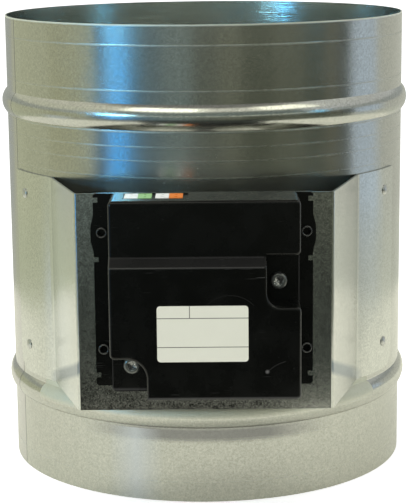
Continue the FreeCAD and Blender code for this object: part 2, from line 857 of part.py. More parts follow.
def make_actuator_base():
    """Moulded base plate with posts for the screws and the board, and sockets for the axles."""
    body = new_body("actuator_base")
    plate = new_sketch(body, "base_plate", "XZ_Plane", "plate_front")
    add_outline(plate, base_outline())
    pad(body, plate, "base_thickness")
    corners = [(x, z) for x in (-value("base_left"), value("base_right"))
               for z in (value("axis_height + base_top"), value("axis_height - base_bottom"))]

    def corner(edge):
        spot = middle_of(edge)
        at_corner = any(close(spot.x, x) and close(spot.z, z) for x, z in corners)
        return along(edge, Vector(0, 1, 0)) and at_corner

    dress(body, "Fillet", "base_corners", "base_corner", corner)
    bulge_heights = [value(height) for out, height in bulge_steps()]

    def bulge_corner(edge):
        at_bulge = any(close(middle_of(edge).z, height) for height in bulge_heights)
        return along(edge, Vector(0, 1, 0)) and at_bulge

    dress(body, "Fillet", "bulge_corners", "bulge_round", bulge_corner)
    posts = new_sketch(body, "screw_posts", "XZ_Plane", "flange_front")
    for x, z in screw_spots().values():
        add_circle(posts, x, z, "post_radius")
    pad(body, posts, "floor_depth - cover_wall - seat_gap")
    board_posts = new_sketch(body, "board_posts", "XZ_Plane", "flange_front")
    for x, z in board_post_spots():
        add_circle(board_posts, x, z, "board_post_radius")
    pad(body, board_posts, "board_back")
    rings = new_sketch(body, "ring_bosses", "XZ_Plane", "flange_front")
    for x, z in ring_spots():
        add_circle(rings, x, z, "boss_radius")
    pad(body, rings, "boss_rise")
    ring_holes = new_sketch(body, "ring_holes", "XZ_Plane", "flange_front + boss_rise")
    for x, z in ring_spots():
        add_circle(ring_holes, x, z, "boss_hole")
    pocket(body, ring_holes, "base_thickness - boss_hole_floor + boss_rise")
    screw_holes = new_sketch(body, "post_holes", "XZ_Plane", "flange_front + floor_depth")
    for x, z in screw_spots().values():
        add_circle(screw_holes, x, z, "screw_radius + fit_gap")
    pocket(body, screw_holes, "screw_length + hole_spare")
    openings = new_sketch(body, "base_openings", "XZ_Plane", "flange_front")
    add_circle(openings, "0", "axis_height", "shaft_radius + shaft_way_gap")
    for name in ("second", "first"):
        x, z = gear_spots()[name]
        add_circle(openings, x, z, "axle_radius + fit_gap")
    pocket(body, openings, "2 * base_thickness")
    return body


def ring_spots():
    right = "(base_right + cover_right) / 2 + boss_shift_right"
    left = "0 - (base_left + cover_left) / 2 - boss_shift_left"
    heights = ("axis_height + boss_high", "axis_height - boss_low")
    return [(x, z) for x in (left, right) for z in heights]


def raised_outline(inset):
    """Outline of the raised block, which leaves out the two screw pockets."""
    low, high = f"axis_height - cover_bottom + {inset}", f"axis_height + cover_top - {inset}"
    left, right = f"0 - cover_left + {inset}", f"cover_right - {inset}"
    return [
        (f"0 - left_pocket_right + {inset}", low),
        (right, low),
        (right, f"axis_height - right_pocket_low - {inset}"),
        (f"right_pocket_left - {inset}", f"axis_height - right_pocket_low - {inset}"),
        (f"right_pocket_left - {inset}", f"axis_height + step_high + {inset}"),
        (right, f"axis_height + step_high + {inset}"),
        (right, high),
        (left, high),
        (left, f"axis_height - left_pocket_low + {inset}"),
        (f"0 - left_pocket_right + {inset}", f"axis_height - left_pocket_low + {inset}"),
    ]


def main_outline(inset, top):
    """Outline of the deepest part of the cover, below the sloped step."""
    points = raised_outline(inset)
    step = [(f"right_pocket_left - {inset}", top), (f"0 - cover_left + {inset}", top)]
    return points[:4] + step + points[8:]


def make_actuator_cover():
    """Moulded shell in three depths, with rounded screw pockets and a sloped step."""
    body = new_body("actuator_cover")
    low, high = "axis_height - cover_bottom", "axis_height + cover_top"
    step = "axis_height + step_high"
    floor = new_sketch(body, "cover_floor", "XZ_Plane", "flange_front")
    add_rectangle(floor, "0 - cover_left", "cover_right", low, high)
    pad(body, floor, "floor_depth")
    raised = new_sketch(body, "cover_raised", "XZ_Plane", "floor_front")
    add_outline(raised, raised_outline("0"))
    pad(body, raised, "upper_depth - floor_depth")
    main = new_sketch(body, "cover_main", "XZ_Plane", "upper_front")
    add_outline(main, main_outline("0", step))
    pad(body, main, "main_depth - upper_depth")
    slope = new_sketch(body, "cover_slope", "YZ_Plane")
    past = below(f"main_front + {PAST}")
    foot = f"{step} - step_slope * (main_rise + {PAST}) / main_rise"
    add_outline(slope, [(below("upper_front"), step), (past, step), (past, foot)])
    pocket(body, slope, "4 * cover_right", midplane=True)
    round_pocket_corner(body, "right_pocket_round", "right_pocket_left", "axis_height - right_pocket_low",
                        "right_pocket_corner")
    round_pocket_corner(body, "left_pocket_round", "0 - left_pocket_right", "axis_height - left_pocket_low",
                        "left_pocket_corner")
    round_cover_edges(body)
    hollow_cover(body)
    return body


def round_pocket_corner(body, name, x, z, radius):
    def chosen(edge):
        spot = middle_of(edge)
        return along(edge, Vector(0, 1, 0)) and close(spot.x, value(x)) and close(spot.z, value(z))
    dress(body, "Fillet", name, radius, chosen)


def round_cover_edges(body):
    """Round the upright corners of the shell first, and then the edges of its front faces."""
    left, right = -value("cover_left"), value("cover_right")
    back = value("flange_front")

    def upright_corner(edge):
        spot = middle_of(edge)
        outer = close(spot.x, left) or close(spot.x, right)
        return along(edge, Vector(0, 1, 0)) and outer and -spot.y > back + PAST

    dress(body, "Fillet", "cover_corners", "cover_corner", upright_corner)

    def rim_of(front):
        def chosen(edge):
            depths = [-vertex.Y for vertex in edge.Vertexes] + [-middle_of(edge).y]
            return all(close(depth, front) for depth in depths)
        return chosen

    dress(body, "Fillet", "main_rim", "cover_edge", rim_of(value("main_front")))
    upper_rim = rim_of(value("upper_front"))
    step, pocket_left = value("axis_height + step_high"), value("right_pocket_left")

    def outer_upper_rim(edge):
        """Leave out the hollow line where the slope begins."""
        spot = middle_of(edge)
        return upper_rim(edge) and not (close(spot.z, step) and spot.x < pocket_left)

    dress(body, "Fillet", "upper_rim", "cover_edge", outer_upper_rim)
    down_slope = Vector(0, -value("main_rise"), -value("step_slope")).normalize()
    dress(body, "Fillet", "slope_ends", "slope_end_round", lambda edge: along(edge, down_slope))


def hollow_cover(body):
    """Hollow the shell from behind and open the screw holes and the terminal window."""
    low, high = "axis_height - cover_bottom", "axis_height + cover_top"
    cavity = new_sketch(body, "cavity_floor", "XZ_Plane", "flange_front")
    add_rectangle(cavity, "0 - cover_left + cover_wall", "cover_right - cover_wall",
                  f"{low} + cover_wall", f"{high} - cover_wall")
    pocket(body, cavity, "floor_depth - cover_wall", reverse=True)
    raised = new_sketch(body, "cavity_raised", "XZ_Plane", "flange_front")
    add_outline(raised, chamfered_pockets(raised_outline("cover_wall"), 3, 9))
    pocket(body, raised, "upper_depth - cover_wall", reverse=True)
    main = new_sketch(body, "cavity_main", "XZ_Plane", "flange_front")
    top = "axis_height + step_high - step_slope - cover_wall"
    add_outline(main, chamfered_pockets(main_outline("cover_wall", top), 3, 7))
    pocket(body, main, "main_depth - cover_wall", reverse=True)
    window = new_sketch(body, "terminal_window", "XY_Plane", f"{high}")
    add_rectangle(window, "0 - window_left", "0 - window_right",
                  "0 - flange_front - window_depth", "0 - flange_front")
    pocket(body, window, f"{THROUGH_SHARE} * cover_wall")
    holes = new_sketch(body, "screw_holes", "XZ_Plane", "floor_front")
    for x, z in screw_spots().values():
        add_circle(holes, x, z, "screw_radius + 4 * fit_gap")
    pocket(body, holes, f"{THROUGH_SHARE} * cover_wall")


def chamfered_pockets(points, right_corner, left_corner):
    """Cut the two inner corners of a cavity, so that the wall stays whole behind the rounded pockets."""
    right_cut = f"{POCKET_CUT_SHARE} * right_pocket_corner"
    left_cut = f"{POCKET_CUT_SHARE} * left_pocket_corner"
    right_x, right_z = points[right_corner]
    left_x, left_z = points[left_corner]
    out = []
    for number, point in enumerate(points):
        if number == right_corner:
            out += [(f"{right_x} + {right_cut}", right_z), (right_x, f"{right_z} + {right_cut}")]
        elif number == left_corner:
            out += [(f"{left_x} - {left_cut}", left_z), (left_x, f"{left_z} - {left_cut}")]
        else:
            out.append(point)
    return out


def make_cover_screw(name, spot):
    """Pan-head screw with a cross recess, seated on the floor of a pocket."""
    x, z = spot
    head_end = "floor_front + screw_head_height"
    tool_back = f"{head_end} - screw_slot_depth"
    head = rod(name + "_head", "screw_head_radius", "floor_front", head_end, x, z)
    shank = rod(name + "_shank", "screw_radius", "floor_front - screw_length", "floor_front", x, z)
    solid = joined(name + "_solid", [head, shank])
    dome = document.addObject("Part::Fillet", name + "_dome")
    dome.Base = solid
    document.recompute()
    front, round_by = value(head_end), value("screw_head_dome")
    edges = [(number, round_by, round_by) for number, edge in enumerate(solid.Shape.Edges, start=1)
             if edge.Closed and close(middle_of(edge).y, -front)]
    dome.Edges = edges
    long, short = "screw_slot_length / 2", "screw_slot_width / 2"
    slots = [
        block(name + "_slot_level", f"{x} - {long}", f"{x} + {long}", tool_back, f"{head_end} + {PAST}",
              f"{z} - {short}", f"{z} + {short}"),
        block(name + "_slot_upright", f"{x} - {short}", f"{x} + {short}", tool_back, f"{head_end} + {PAST}",
              f"{z} - {long}", f"{z} + {long}"),
    ]
    return cut(name, dome, slots)


def make_label_plate():
    body = new_body("label_plate")
    sketch = new_sketch(body, "label_outline", "XZ_Plane", "main_front")
    low = "axis_height - label_low"
    add_rectangle(sketch, "0 - label_left", "0 - label_left + label_width", low, f"{low} + label_height")
    pad(body, sketch, "label_thickness")
    dress(body, "Fillet", "label_corners", "label_corner", lambda edge: along(edge, Vector(0, 1, 0)))
    return body


# Terminals and circuit board

def plug_left_edges():
    """Left edge of each plug, from left to right, in two touching pairs."""
    first = "0 - plug_first_left"
    pair = "plug_width + seat_gap"
    second_pair = f"{first} + 2 * ({pair}) + plug_pair_gap"
    return [first, f"{first} + {pair}", second_pair, f"{second_pair} + {pair}"]


def pin_places():
    middle = "plug_back + plug_depth / 2"
    spots = []
    for left in plug_left_edges():
        for offset in (-0.5, 0.5):
            spots.append((f"{left} + plug_width / 2 + {offset} * pin_pitch", middle))
    return spots


def make_terminal_block():
    """Black socket block with one bay for each pair of plugs."""
    solid = block("block_solid", "0 - window_left + seat_gap", "0 - window_right - seat_gap",
                  "flange_front + seat_gap", "block_front", "block_low",
                  "axis_height + cover_top - block_top_gap")
    edges = plug_left_edges()
    tools = []
    for number in (0, 2):
        tools.append(block(f"block_bay_{number}", f"{edges[number]} - seat_gap",
                           f"{edges[number + 1]} + plug_width + seat_gap",
                           "plug_back - seat_gap", "plug_back + plug_depth + seat_gap",
                           "block_low + block_floor", f"axis_height + cover_top + {PAST}"))
    for number, (x, middle) in enumerate(pin_places()):
        tools.append(upright_rod(f"block_pin_way_{number}", "pin_radius + fit_gap", f"block_low - {PAST}",
                                 f"block_low + block_floor + {PAST}", x, below(middle)))
    return cut("terminal_block", solid, tools)


def make_plug(name, number):
    """Push-in plug with two wire entries above and two pin holes below."""
    left = plug_left_edges()[number]
    solid = block(name + "_solid", left, f"{left} + plug_width", "plug_back", "plug_back + plug_depth",
                  "plug_low", "plug_high")
    tools = []
    for entry, share in enumerate(ENTRY_SHARES):
        y = below(f"plug_back + {share} * plug_depth")
        tools.append(upright_rod(f"{name}_entry_{entry}", "plug_hole_radius", "plug_high - plug_hole_length",
                                 f"plug_high + {PAST}", f"{left} + plug_width / 2", y))
    for pin in (0, 1):
        x, middle = pin_places()[2 * number + pin]
        tools.append(upright_rod(f"{name}_pin_hole_{pin}", "pin_radius + fit_gap", f"plug_low - {PAST}",
                                 "block_low - seat_gap + pin_length + hole_spare", x, below(middle)))
    return cut(name, solid, tools)


def make_pin_header():
    """Header bar on the back of the board, with a row of pins into the plugs."""
    edges = plug_left_edges()
    front = "flange_front + board_back"
    top = "block_low - seat_gap"
    bar = block("header_bar", f"{edges[0]} + header_inset", f"{edges[3]} + plug_width - header_inset",
                f"{front} - header_depth", front, f"{top} - header_height", top)
    pins = [upright_rod(f"header_pin_{number}", "pin_radius", f"{top} - pin_tail",
                        f"{top} + pin_length", x, below(middle))
            for number, (x, middle) in enumerate(pin_places())]
    return joined("pin_header", [bar] + pins)


def make_circuit_board():
    low, high = "axis_height - board_low", "axis_height + board_high"
    return block("circuit_board", "0 - board_left", "board_right",
                 "flange_front + board_back", "board_front", low, high)


def make_control_chip():
    x, z = "0 - chip_left", "axis_height + chip_high"
    return block("control_chip", f"{x} - chip_size / 2", f"{x} + chip_size / 2",
                 "board_front", "board_front + chip_thickness",
                 f"{z} - chip_size / 2", f"{z} + chip_size / 2")


def make_capacitor():
    return rod("capacitor", "capacitor_radius", "board_front", "board_front + capacitor_length",
               "board_right - capacitor_inset", "axis_height + capacitor_high")


# Gear train

def involute_gear(module, teeth, tooth_angle, centre, back, width):
    """A spur gear along Y with stub teeth; one tooth is centred at tooth_angle degrees."""
    pressure = math.radians(20)
    pitch = module * teeth / 2
    base = pitch * math.cos(pressure)
    tip, root = pitch + TOOTH_RISE * module, pitch - module
    involute = math.tan(pressure) - pressure
    half_pitch_angle = (math.pi * module / 2 - value("tooth_slack")) / (2 * pitch)

    def half_angle(radius):
        if radius <= base:
            return half_pitch_angle + involute
        turn = math.acos(base / radius)
        return half_pitch_angle + involute - (math.tan(turn) - turn)

    radii = [root, max(base, root + FLANK_START * module), pitch, tip]
    points = []
    for tooth in range(teeth):
        middle = math.radians(tooth_angle) + 2 * math.pi * tooth / teeth
        flank = [(radius, middle - half_angle(radius)) for radius in radii]
        flank += [(radius, middle + half_angle(radius)) for radius in reversed(radii)]
        points += [Vector(centre.x + radius * math.cos(angle), -back, centre.z + radius * math.sin(angle))
                   for radius, angle in flank]
    face = Part.Face(Part.makePolygon(points + points[:1]))
    return face.extrude(Vector(0, -width, 0))


def axle_tube(radius, centre, back, front):
    return Part.makeCylinder(radius, front - back, Vector(centre.x, -back, centre.z), Vector(0, -1, 0))


def gear_centre(name):
    x, z = gear_spots()[name]
    return Vector(value(x), 0, value(z))


def gear_level(text):
    return value(f"flange_front + {text}")


def make_output_gear():
    """Gear on the end of the blade shaft, with a hub on each side."""
    centre = gear_centre("output")
    back, width = gear_level("output_gear_back"), value("output_gear_width")
    facing = value("second_gear_angle")
    teeth = involute_gear(value("output_module"), OUTPUT_TEETH, facing, centre, back, width)
    hub = axle_tube(value("output_hub_radius"), centre, gear_level("moving_gap"), value("shaft_front"))
    bore = axle_tube(value("shaft_radius + fit_gap"), centre, value("duct_radius"), value("main_front"))
    return shaped("output_gear", teeth.fuse(hub).cut(bore).removeSplitter())


def make_second_gear():
    centre = gear_centre("second")
    pinion_back, wheel_back = gear_level("moving_gap"), gear_level("second_wheel_back")
    facing_back = value("second_gear_angle") + HALF_TURN + HALF_TURN / PINION_TEETH
    pinion = involute_gear(value("output_module"), PINION_TEETH, facing_back, centre, pinion_back,
                           wheel_back - pinion_back)
    facing_front = value("first_gear_angle")
    wheel = involute_gear(value("second_module"), SECOND_TEETH, facing_front, centre, wheel_back,
                          value("second_wheel_width"))
    bore = axle_tube(value("axle_radius + running_gap"), centre, value("duct_radius"), value("main_front"))
    return shaped("second_gear", pinion.fuse(wheel).cut(bore).removeSplitter())


def make_first_gear():
    centre = gear_centre("first")
    sleeve_back, pinion_back = gear_level("moving_gap"), gear_level("first_pinion_back")
    wheel_back = gear_level("first_wheel_back")
    facing_back = value("first_gear_angle") + HALF_TURN + HALF_TURN / PINION_TEETH
    sleeve = axle_tube(value("first_sleeve_radius"), centre, sleeve_back, wheel_back)
    pinion = involute_gear(value("second_module"), PINION_TEETH, facing_back, centre, pinion_back,
                           wheel_back - pinion_back)
    wheel = involute_gear(value("first_module"), FIRST_TEETH, value("motor_angle"), centre, wheel_back,
                          value("first_wheel_width"))
    bore = axle_tube(value("axle_radius + running_gap"), centre, value("duct_radius"), value("main_front"))
    return shaped("first_gear", sleeve.fuse([pinion, wheel]).cut(bore).removeSplitter())


def make_motor_pinion():
    """Pinion on the motor's own shaft."""
    centre = gear_centre("motor")
    back = gear_level("first_wheel_back - motor_pinion_margin")
    front = gear_level("first_wheel_back + first_wheel_width + motor_pinion_margin")
    facing_back = value("motor_angle") + HALF_TURN + HALF_TURN / PINION_TEETH
    teeth = involute_gear(value("first_module"), PINION_TEETH, facing_back, centre, back, front - back)
    shaft_back = gear_level("seat_gap + motor_length - motor_shaft_grip")
    shaft = axle_tube(value("motor_shaft_radius"), centre, shaft_back, front)
    return shaped("motor_pinion", teeth.fuse(shaft).removeSplitter())


def make_motor_can():
    x, z = gear_spots()["motor"]
    front = "flange_front + seat_gap + motor_length"
    can = rod("motor_body", "motor_radius", "flange_front + seat_gap", front, x, z)
    nose = rod("motor_nose", "motor_nose_radius", front, f"{front} + motor_nose_rise", x, z)
    solid = joined("motor_solid", [can, nose])
    bore = rod("motor_bore", "motor_shaft_radius + running_gap", f"{front} - motor_shaft_grip - moving_gap",
               f"{front} + motor_nose_rise + {PAST}", x, z)
    return cut("motor_can", solid, [bore])


def make_gear_axle(name, which, front):
    x, z = gear_spots()[which]
    return rod(name, "axle_radius", "plate_front + seat_gap", front, x, z)


def make_axle_clips():
    """Washers that keep the two loose gears on their axles."""
    clips = []
    for which, front in (("second", "second_wheel_back + second_wheel_width"),
                         ("first", "first_wheel_back + first_wheel_width")):
        x, z = gear_spots()[which]
        back = f"flange_front + {front} + moving_gap"
        washer = rod(f"{which}_clip_washer", "axle_clip_radius", back, f"{back} + axle_clip_sheet", x, z)
        bore = rod(f"{which}_clip_bore", "axle_radius + fit_gap", "duct_radius", "main_front", x, z)
        clips.append(cut(f"{which}_clip", washer, [bore]))
    return group("axle_clips", clips)


def make_axles():
    tail = "moving_gap + axle_clip_sheet + axle_tail"
    return [
        make_gear_axle("second_gear_axle", "second",
                       f"flange_front + second_wheel_back + second_wheel_width + {tail}"),
        make_gear_axle("first_gear_axle", "first",
                       f"flange_front + first_wheel_back + first_wheel_width + {tail}"),
    ]


# The whole damper, piece by piece

PLUGS = ["plug_white_left", "plug_green", "plug_white_right", "plug_orange"]

pieces = [
    make_duct_tube(),
    make_blade_shaft(),
    make_blade_disc("blade_disc_left", -1),
    make_blade_disc("blade_disc_right", 1),
    make_blade_seal(),
    make_blade_rivets(),
    make_shaft_rivets(),
    make_duct_bushing("front_bushing", False),
    make_duct_bushing("rear_bushing", True),
    make_plate_bushing(),
    make_shaft_clip(),
    make_bracket(),
    make_wing_rivets(),
    make_actuator_base(),
    make_actuator_cover(),
    make_label_plate(),
    make_terminal_block(),
    make_pin_header(),
    make_circuit_board(),
    make_control_chip(),
    make_capacitor(),
    make_output_gear(),
    make_second_gear(),
    make_first_gear(),
    make_motor_pinion(),
    make_motor_can(),
    make_axle_clips(),
]
pieces += [make_cover_screw(f"cover_screw_{which}", spot) for which, spot in screw_spots().items()]
pieces += [make_plug(name, number) for number, name in enumerate(PLUGS)]
pieces += make_axles()

document.recompute()
for item in document.Objects:
    if "Invalid" in item.State or "Error" in item.State:
        raise RuntimeError(f"{item.Label} is {item.State}")
for piece in pieces:
    if piece.Shape.isNull() or not piece.Shape.isValid() or not piece.Shape.Solids:
        raise RuntimeError(piece.Label + " has no valid solid")
for piece in pieces:
    piece.Shape.exportStep(f"parts/{piece.Label}.step")
print(len(pieces), "pieces written")
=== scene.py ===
import math

import bmesh
import bpy
from bpy.props import FloatProperty, FloatVectorProperty, IntProperty, PointerProperty
from mathutils import Matrix, Vector


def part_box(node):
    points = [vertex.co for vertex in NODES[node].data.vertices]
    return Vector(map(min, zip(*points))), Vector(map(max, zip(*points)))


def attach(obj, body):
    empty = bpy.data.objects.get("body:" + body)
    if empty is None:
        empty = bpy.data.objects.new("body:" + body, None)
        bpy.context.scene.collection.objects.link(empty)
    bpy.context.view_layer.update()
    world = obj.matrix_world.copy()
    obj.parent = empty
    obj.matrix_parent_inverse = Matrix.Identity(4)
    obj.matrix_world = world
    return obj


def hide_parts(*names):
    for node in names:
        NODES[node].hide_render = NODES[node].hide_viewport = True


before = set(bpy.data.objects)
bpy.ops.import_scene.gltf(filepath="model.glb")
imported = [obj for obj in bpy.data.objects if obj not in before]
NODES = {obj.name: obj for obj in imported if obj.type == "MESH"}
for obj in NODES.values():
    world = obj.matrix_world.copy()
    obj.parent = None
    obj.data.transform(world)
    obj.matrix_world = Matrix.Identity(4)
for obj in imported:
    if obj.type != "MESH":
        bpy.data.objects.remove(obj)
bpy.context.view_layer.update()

bl_info = {
    "name": "Round Duct Damper Finishes",
    "version": (1, 0, 0),
    "blender": (4, 5, 0),
    "location": "3D View > Sidebar > Damper",
    "description": "Finishes, small fittings and a studio for a round duct damper with a motor housing",
    "category": "Object",
}

TUBE_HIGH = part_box("duct_tube")[1]
COVER_LOW, COVER_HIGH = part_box("actuator_cover")
LABEL_LOW, LABEL_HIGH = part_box("label_plate")
BRACKET_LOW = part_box("bracket")[0]
MM = 0.001


# Properties that a user can change

def length(name, description, default, low=0.0):
    return FloatProperty(name=name, description=description, default=default, min=low, precision=5,
                         unit="LENGTH", subtype="DISTANCE")


def share(name, description, default):
    return FloatProperty(name=name, description=description, default=default, min=0.0, max=1.0,
                         subtype="FACTOR")


def angle(name, description, default):
    return FloatProperty(name=name, description=description, default=math.radians(default),
                         unit="ROTATION", subtype="ANGLE")


def plain(name, description, default):
    return FloatProperty(name=name, description=description, default=default, min=0.0)


def tint(name, description, default):
    return FloatVectorProperty(name=name, description=description, default=default, size=3, min=0.0, max=4.0,
                               subtype="COLOR")


class SheetFinish(bpy.types.PropertyGroup):
    """Zinc-coated sheet of the duct, the bracket and the blade."""
    zinc: tint("Zinc", "Colour of the zinc coat", (0.62, 0.62, 0.585))
    dark_zinc: tint("Dark zinc", "Colour of the dull crystals", (0.43, 0.435, 0.40))
    bright_zinc: tint("Bright zinc", "Colour of the bracket's newer zinc coat", (0.73, 0.735, 0.70))
    # Painted light: the inside colour is the zinc made lighter and bluer, for the bluish light reflected
    # inside the duct.
    inside_zinc_with_painted_light: tint("Inside zinc", "Colour of the untouched coat inside the duct", (0.62, 0.67, 0.64))
    inside_roughness: share("Inside roughness", "Roughness of the coat inside the duct", 0.15)
    # Painted shade: these darken the colour of the bracket's front plate, most at its lower edge, for the
    # darker reflections it shows.
    plate_shade: share("Plate shade", "How much duller the bracket's front plate is than its wings", 0.30)
    foot_shade: share("Foot shade", "How much darker the front plate gets at its lower edge", 0.5)
    foot_height: length("Foot height", "Height over which the front plate darkens", 24 * MM)
    roughness: share("Roughness", "Roughness of the zinc coat", 0.16)
    spangle_size: length("Spangle size", "Width of one zinc crystal", 1.0 * MM)
    grain_size: length("Grain size", "Width of the fine grain inside a crystal", 0.35 * MM)
    fleck_size: length("Fleck size", "Width of the pale and dark flecks of the zinc coat", 0.8 * MM)
    smudge_size: length("Smudge size", "Width of the dull patches left by handling", 38 * MM)
    roll_line_width: length("Roll line width", "Width of the lines that the bead rollers leave", 1.1 * MM)
    lap_angle: angle("Lap angle", "Angle of the lengthwise lap from the front, towards the left", 66.8)
    lap_strip_width: length("Lap strip width", "Width of the greyer strip beyond the lap", 30 * MM)
    lap_line_width: length("Lap line width", "Width of the dark line along the lap", 0.9 * MM)


class HousingFinish(bpy.types.PropertyGroup):
    """Black moulded housing, its screws, label and terminals."""
    black: tint("Black", "Colour of the moulded housing", (0.0012, 0.0013, 0.0010))
    sheen: share("Sheen", "Strength of the reflections on the moulded housing", 0.3)
    # The dust colour also paints the highlights along the cover's edges and slope.
    dust: tint("Dust", "Colour of dust and scratches on the housing", (0.12, 0.12, 0.115))
    roughness: share("Roughness", "Roughness of the moulded housing", 0.2)
    grain_size: length("Grain size", "Width of the moulded grain", 0.25 * MM)
    label: tint("Label", "Colour of the label", (0.78, 0.795, 0.665))
    label_ink: tint("Label ink", "Colour of the divider lines", (0.05, 0.05, 0.045))
    line_width: length("Line width", "Width of the divider lines on the label", 0.5 * MM)
    screw: tint("Screw", "Colour of the screw heads", (0.24, 0.25, 0.24))
    white: tint("White plug", "Colour of the white plugs", (0.96, 0.98, 0.93))
    green: tint("Green plug", "Colour of the green plug", (0.35, 0.64, 0.26))
    orange: tint("Orange plug", "Colour of the orange plug", (0.88, 0.235, 0.02))


class FittingSizes(bpy.types.PropertyGroup):
    """Small fittings that are finer than the solids."""
    screw_radius: length("Screw head radius", "Radius of a cover screw's head", 3.85 * MM)
    screw_rise: length("Screw head height", "Height of a cover screw's head", 2.6 * MM)
    recess_length: length("Recess length", "Length of the cross recess", 4.4 * MM)
    recess_width: length("Recess width", "Width of the cross recess", 1.0 * MM)
    recess_depth: length("Recess depth", "Depth of the cross recess", 1.0 * MM)
    collar_outer: length("Collar outer radius", "Outer radius of a flange collar", 2.45 * MM)
    collar_inner: length("Collar inner radius", "Inner radius of a flange collar", 1.66 * MM)
    collar_rise: length("Collar height", "Height of a flange collar", 0.38 * MM)
    segments: IntProperty(name="Segments", description="Segments round a fitting", default=48, min=12)


class StudioSetup(bpy.types.PropertyGroup):
    """Camera, floor, lamps and the cards that the metal mirrors."""
    camera_left: length("Camera right", "Camera's place along X", 4.83 * MM, low=-10.0)
    camera_front: length("Camera distance", "Camera's distance in front of the duct axis", 862.9 * MM)
    camera_height: length("Camera height", "Camera's height above the lower rim", 274.4 * MM)
    camera_lens: plain("Camera lens", "Focal length for a 36 mm sensor, in millimetres", 121.54)
    camera_pitch: angle("Camera pitch", "How far the camera looks down", 11.387)
    camera_yaw: angle("Camera yaw", "How far the camera looks to the right", -0.416)
    camera_roll: angle("Camera roll", "How far the camera is turned about its own line of sight", 0.582)
    floor_reach: length("Floor reach", "Radius of the floor", 6.0)
    floor_tone: share("Floor tone", "Paleness of the floor", 0.8)
    floor_lift: share("Floor lift", "Glow that takes the floor to white in the camera's view", 0.6)
    mirror_lift: share("Mirror lift", "Glow of the floor in a mirror", 0.17)
    mirror_tint: tint("Mirror tint", "Colour of the floor in a mirror", (1.0, 1.0, 0.84))
    daylight: plain("Daylight", "Strength of the even light from all sides", 0.72)
    card_reach: length("Card reach", "Distance of the mirrored cards from the duct axis", 1.2)
    card_foot: length("Card foot", "Distance at which the mirrored cards leave the floor", 0.42)
    card_height: length("Card height", "Height of the mirrored cards", 0.95)
    ceiling_height: length("Ceiling height", "Height of the mirrored ceiling above the floor", 1.5)
    upper_start: length("Upper start", "Height at which the upper cards begin", 0.25)
    top_start: length("Top start", "Height at which the top cards begin", 0.5)
    dark_start: length("Dark start", "Distance at which the dark floor in front begins", 0.28)
    dark_reach: length("Dark reach", "Distance at which the dark floor in front ends", 0.69)
    dark_angle: angle("Dark angle", "Half the angle of the dark floor in front", 32.0)


# Node maths

class Shade:
    """A socket in a material, on which Python's arithmetic adds nodes."""

    def __init__(self, finish, socket):
        self.finish = finish
        self.socket = socket

    def __add__(self, other):
        return self.finish.maths("ADD", self, other)

    def __radd__(self, other):
        return self.finish.maths("ADD", other, self)

    def __sub__(self, other):
        return self.finish.maths("SUBTRACT", self, other)

    def __rsub__(self, other):
        return self.finish.maths("SUBTRACT", other, self)

    def __mul__(self, other):
        return self.finish.maths("MULTIPLY", self, other)

    def __rmul__(self, other):
        return self.finish.maths("MULTIPLY", other, self)

    def __truediv__(self, other):
        return self.finish.maths("DIVIDE", self, other)

    def __rtruediv__(self, other):
        return self.finish.maths("DIVIDE", other, self)

    def __gt__(self, other):
        return self.finish.maths("GREATER_THAN", self, other)

    def __lt__(self, other):
        return self.finish.maths("LESS_THAN", self, other)

    def __abs__(self):
        return self.finish.maths("ABSOLUTE", self)


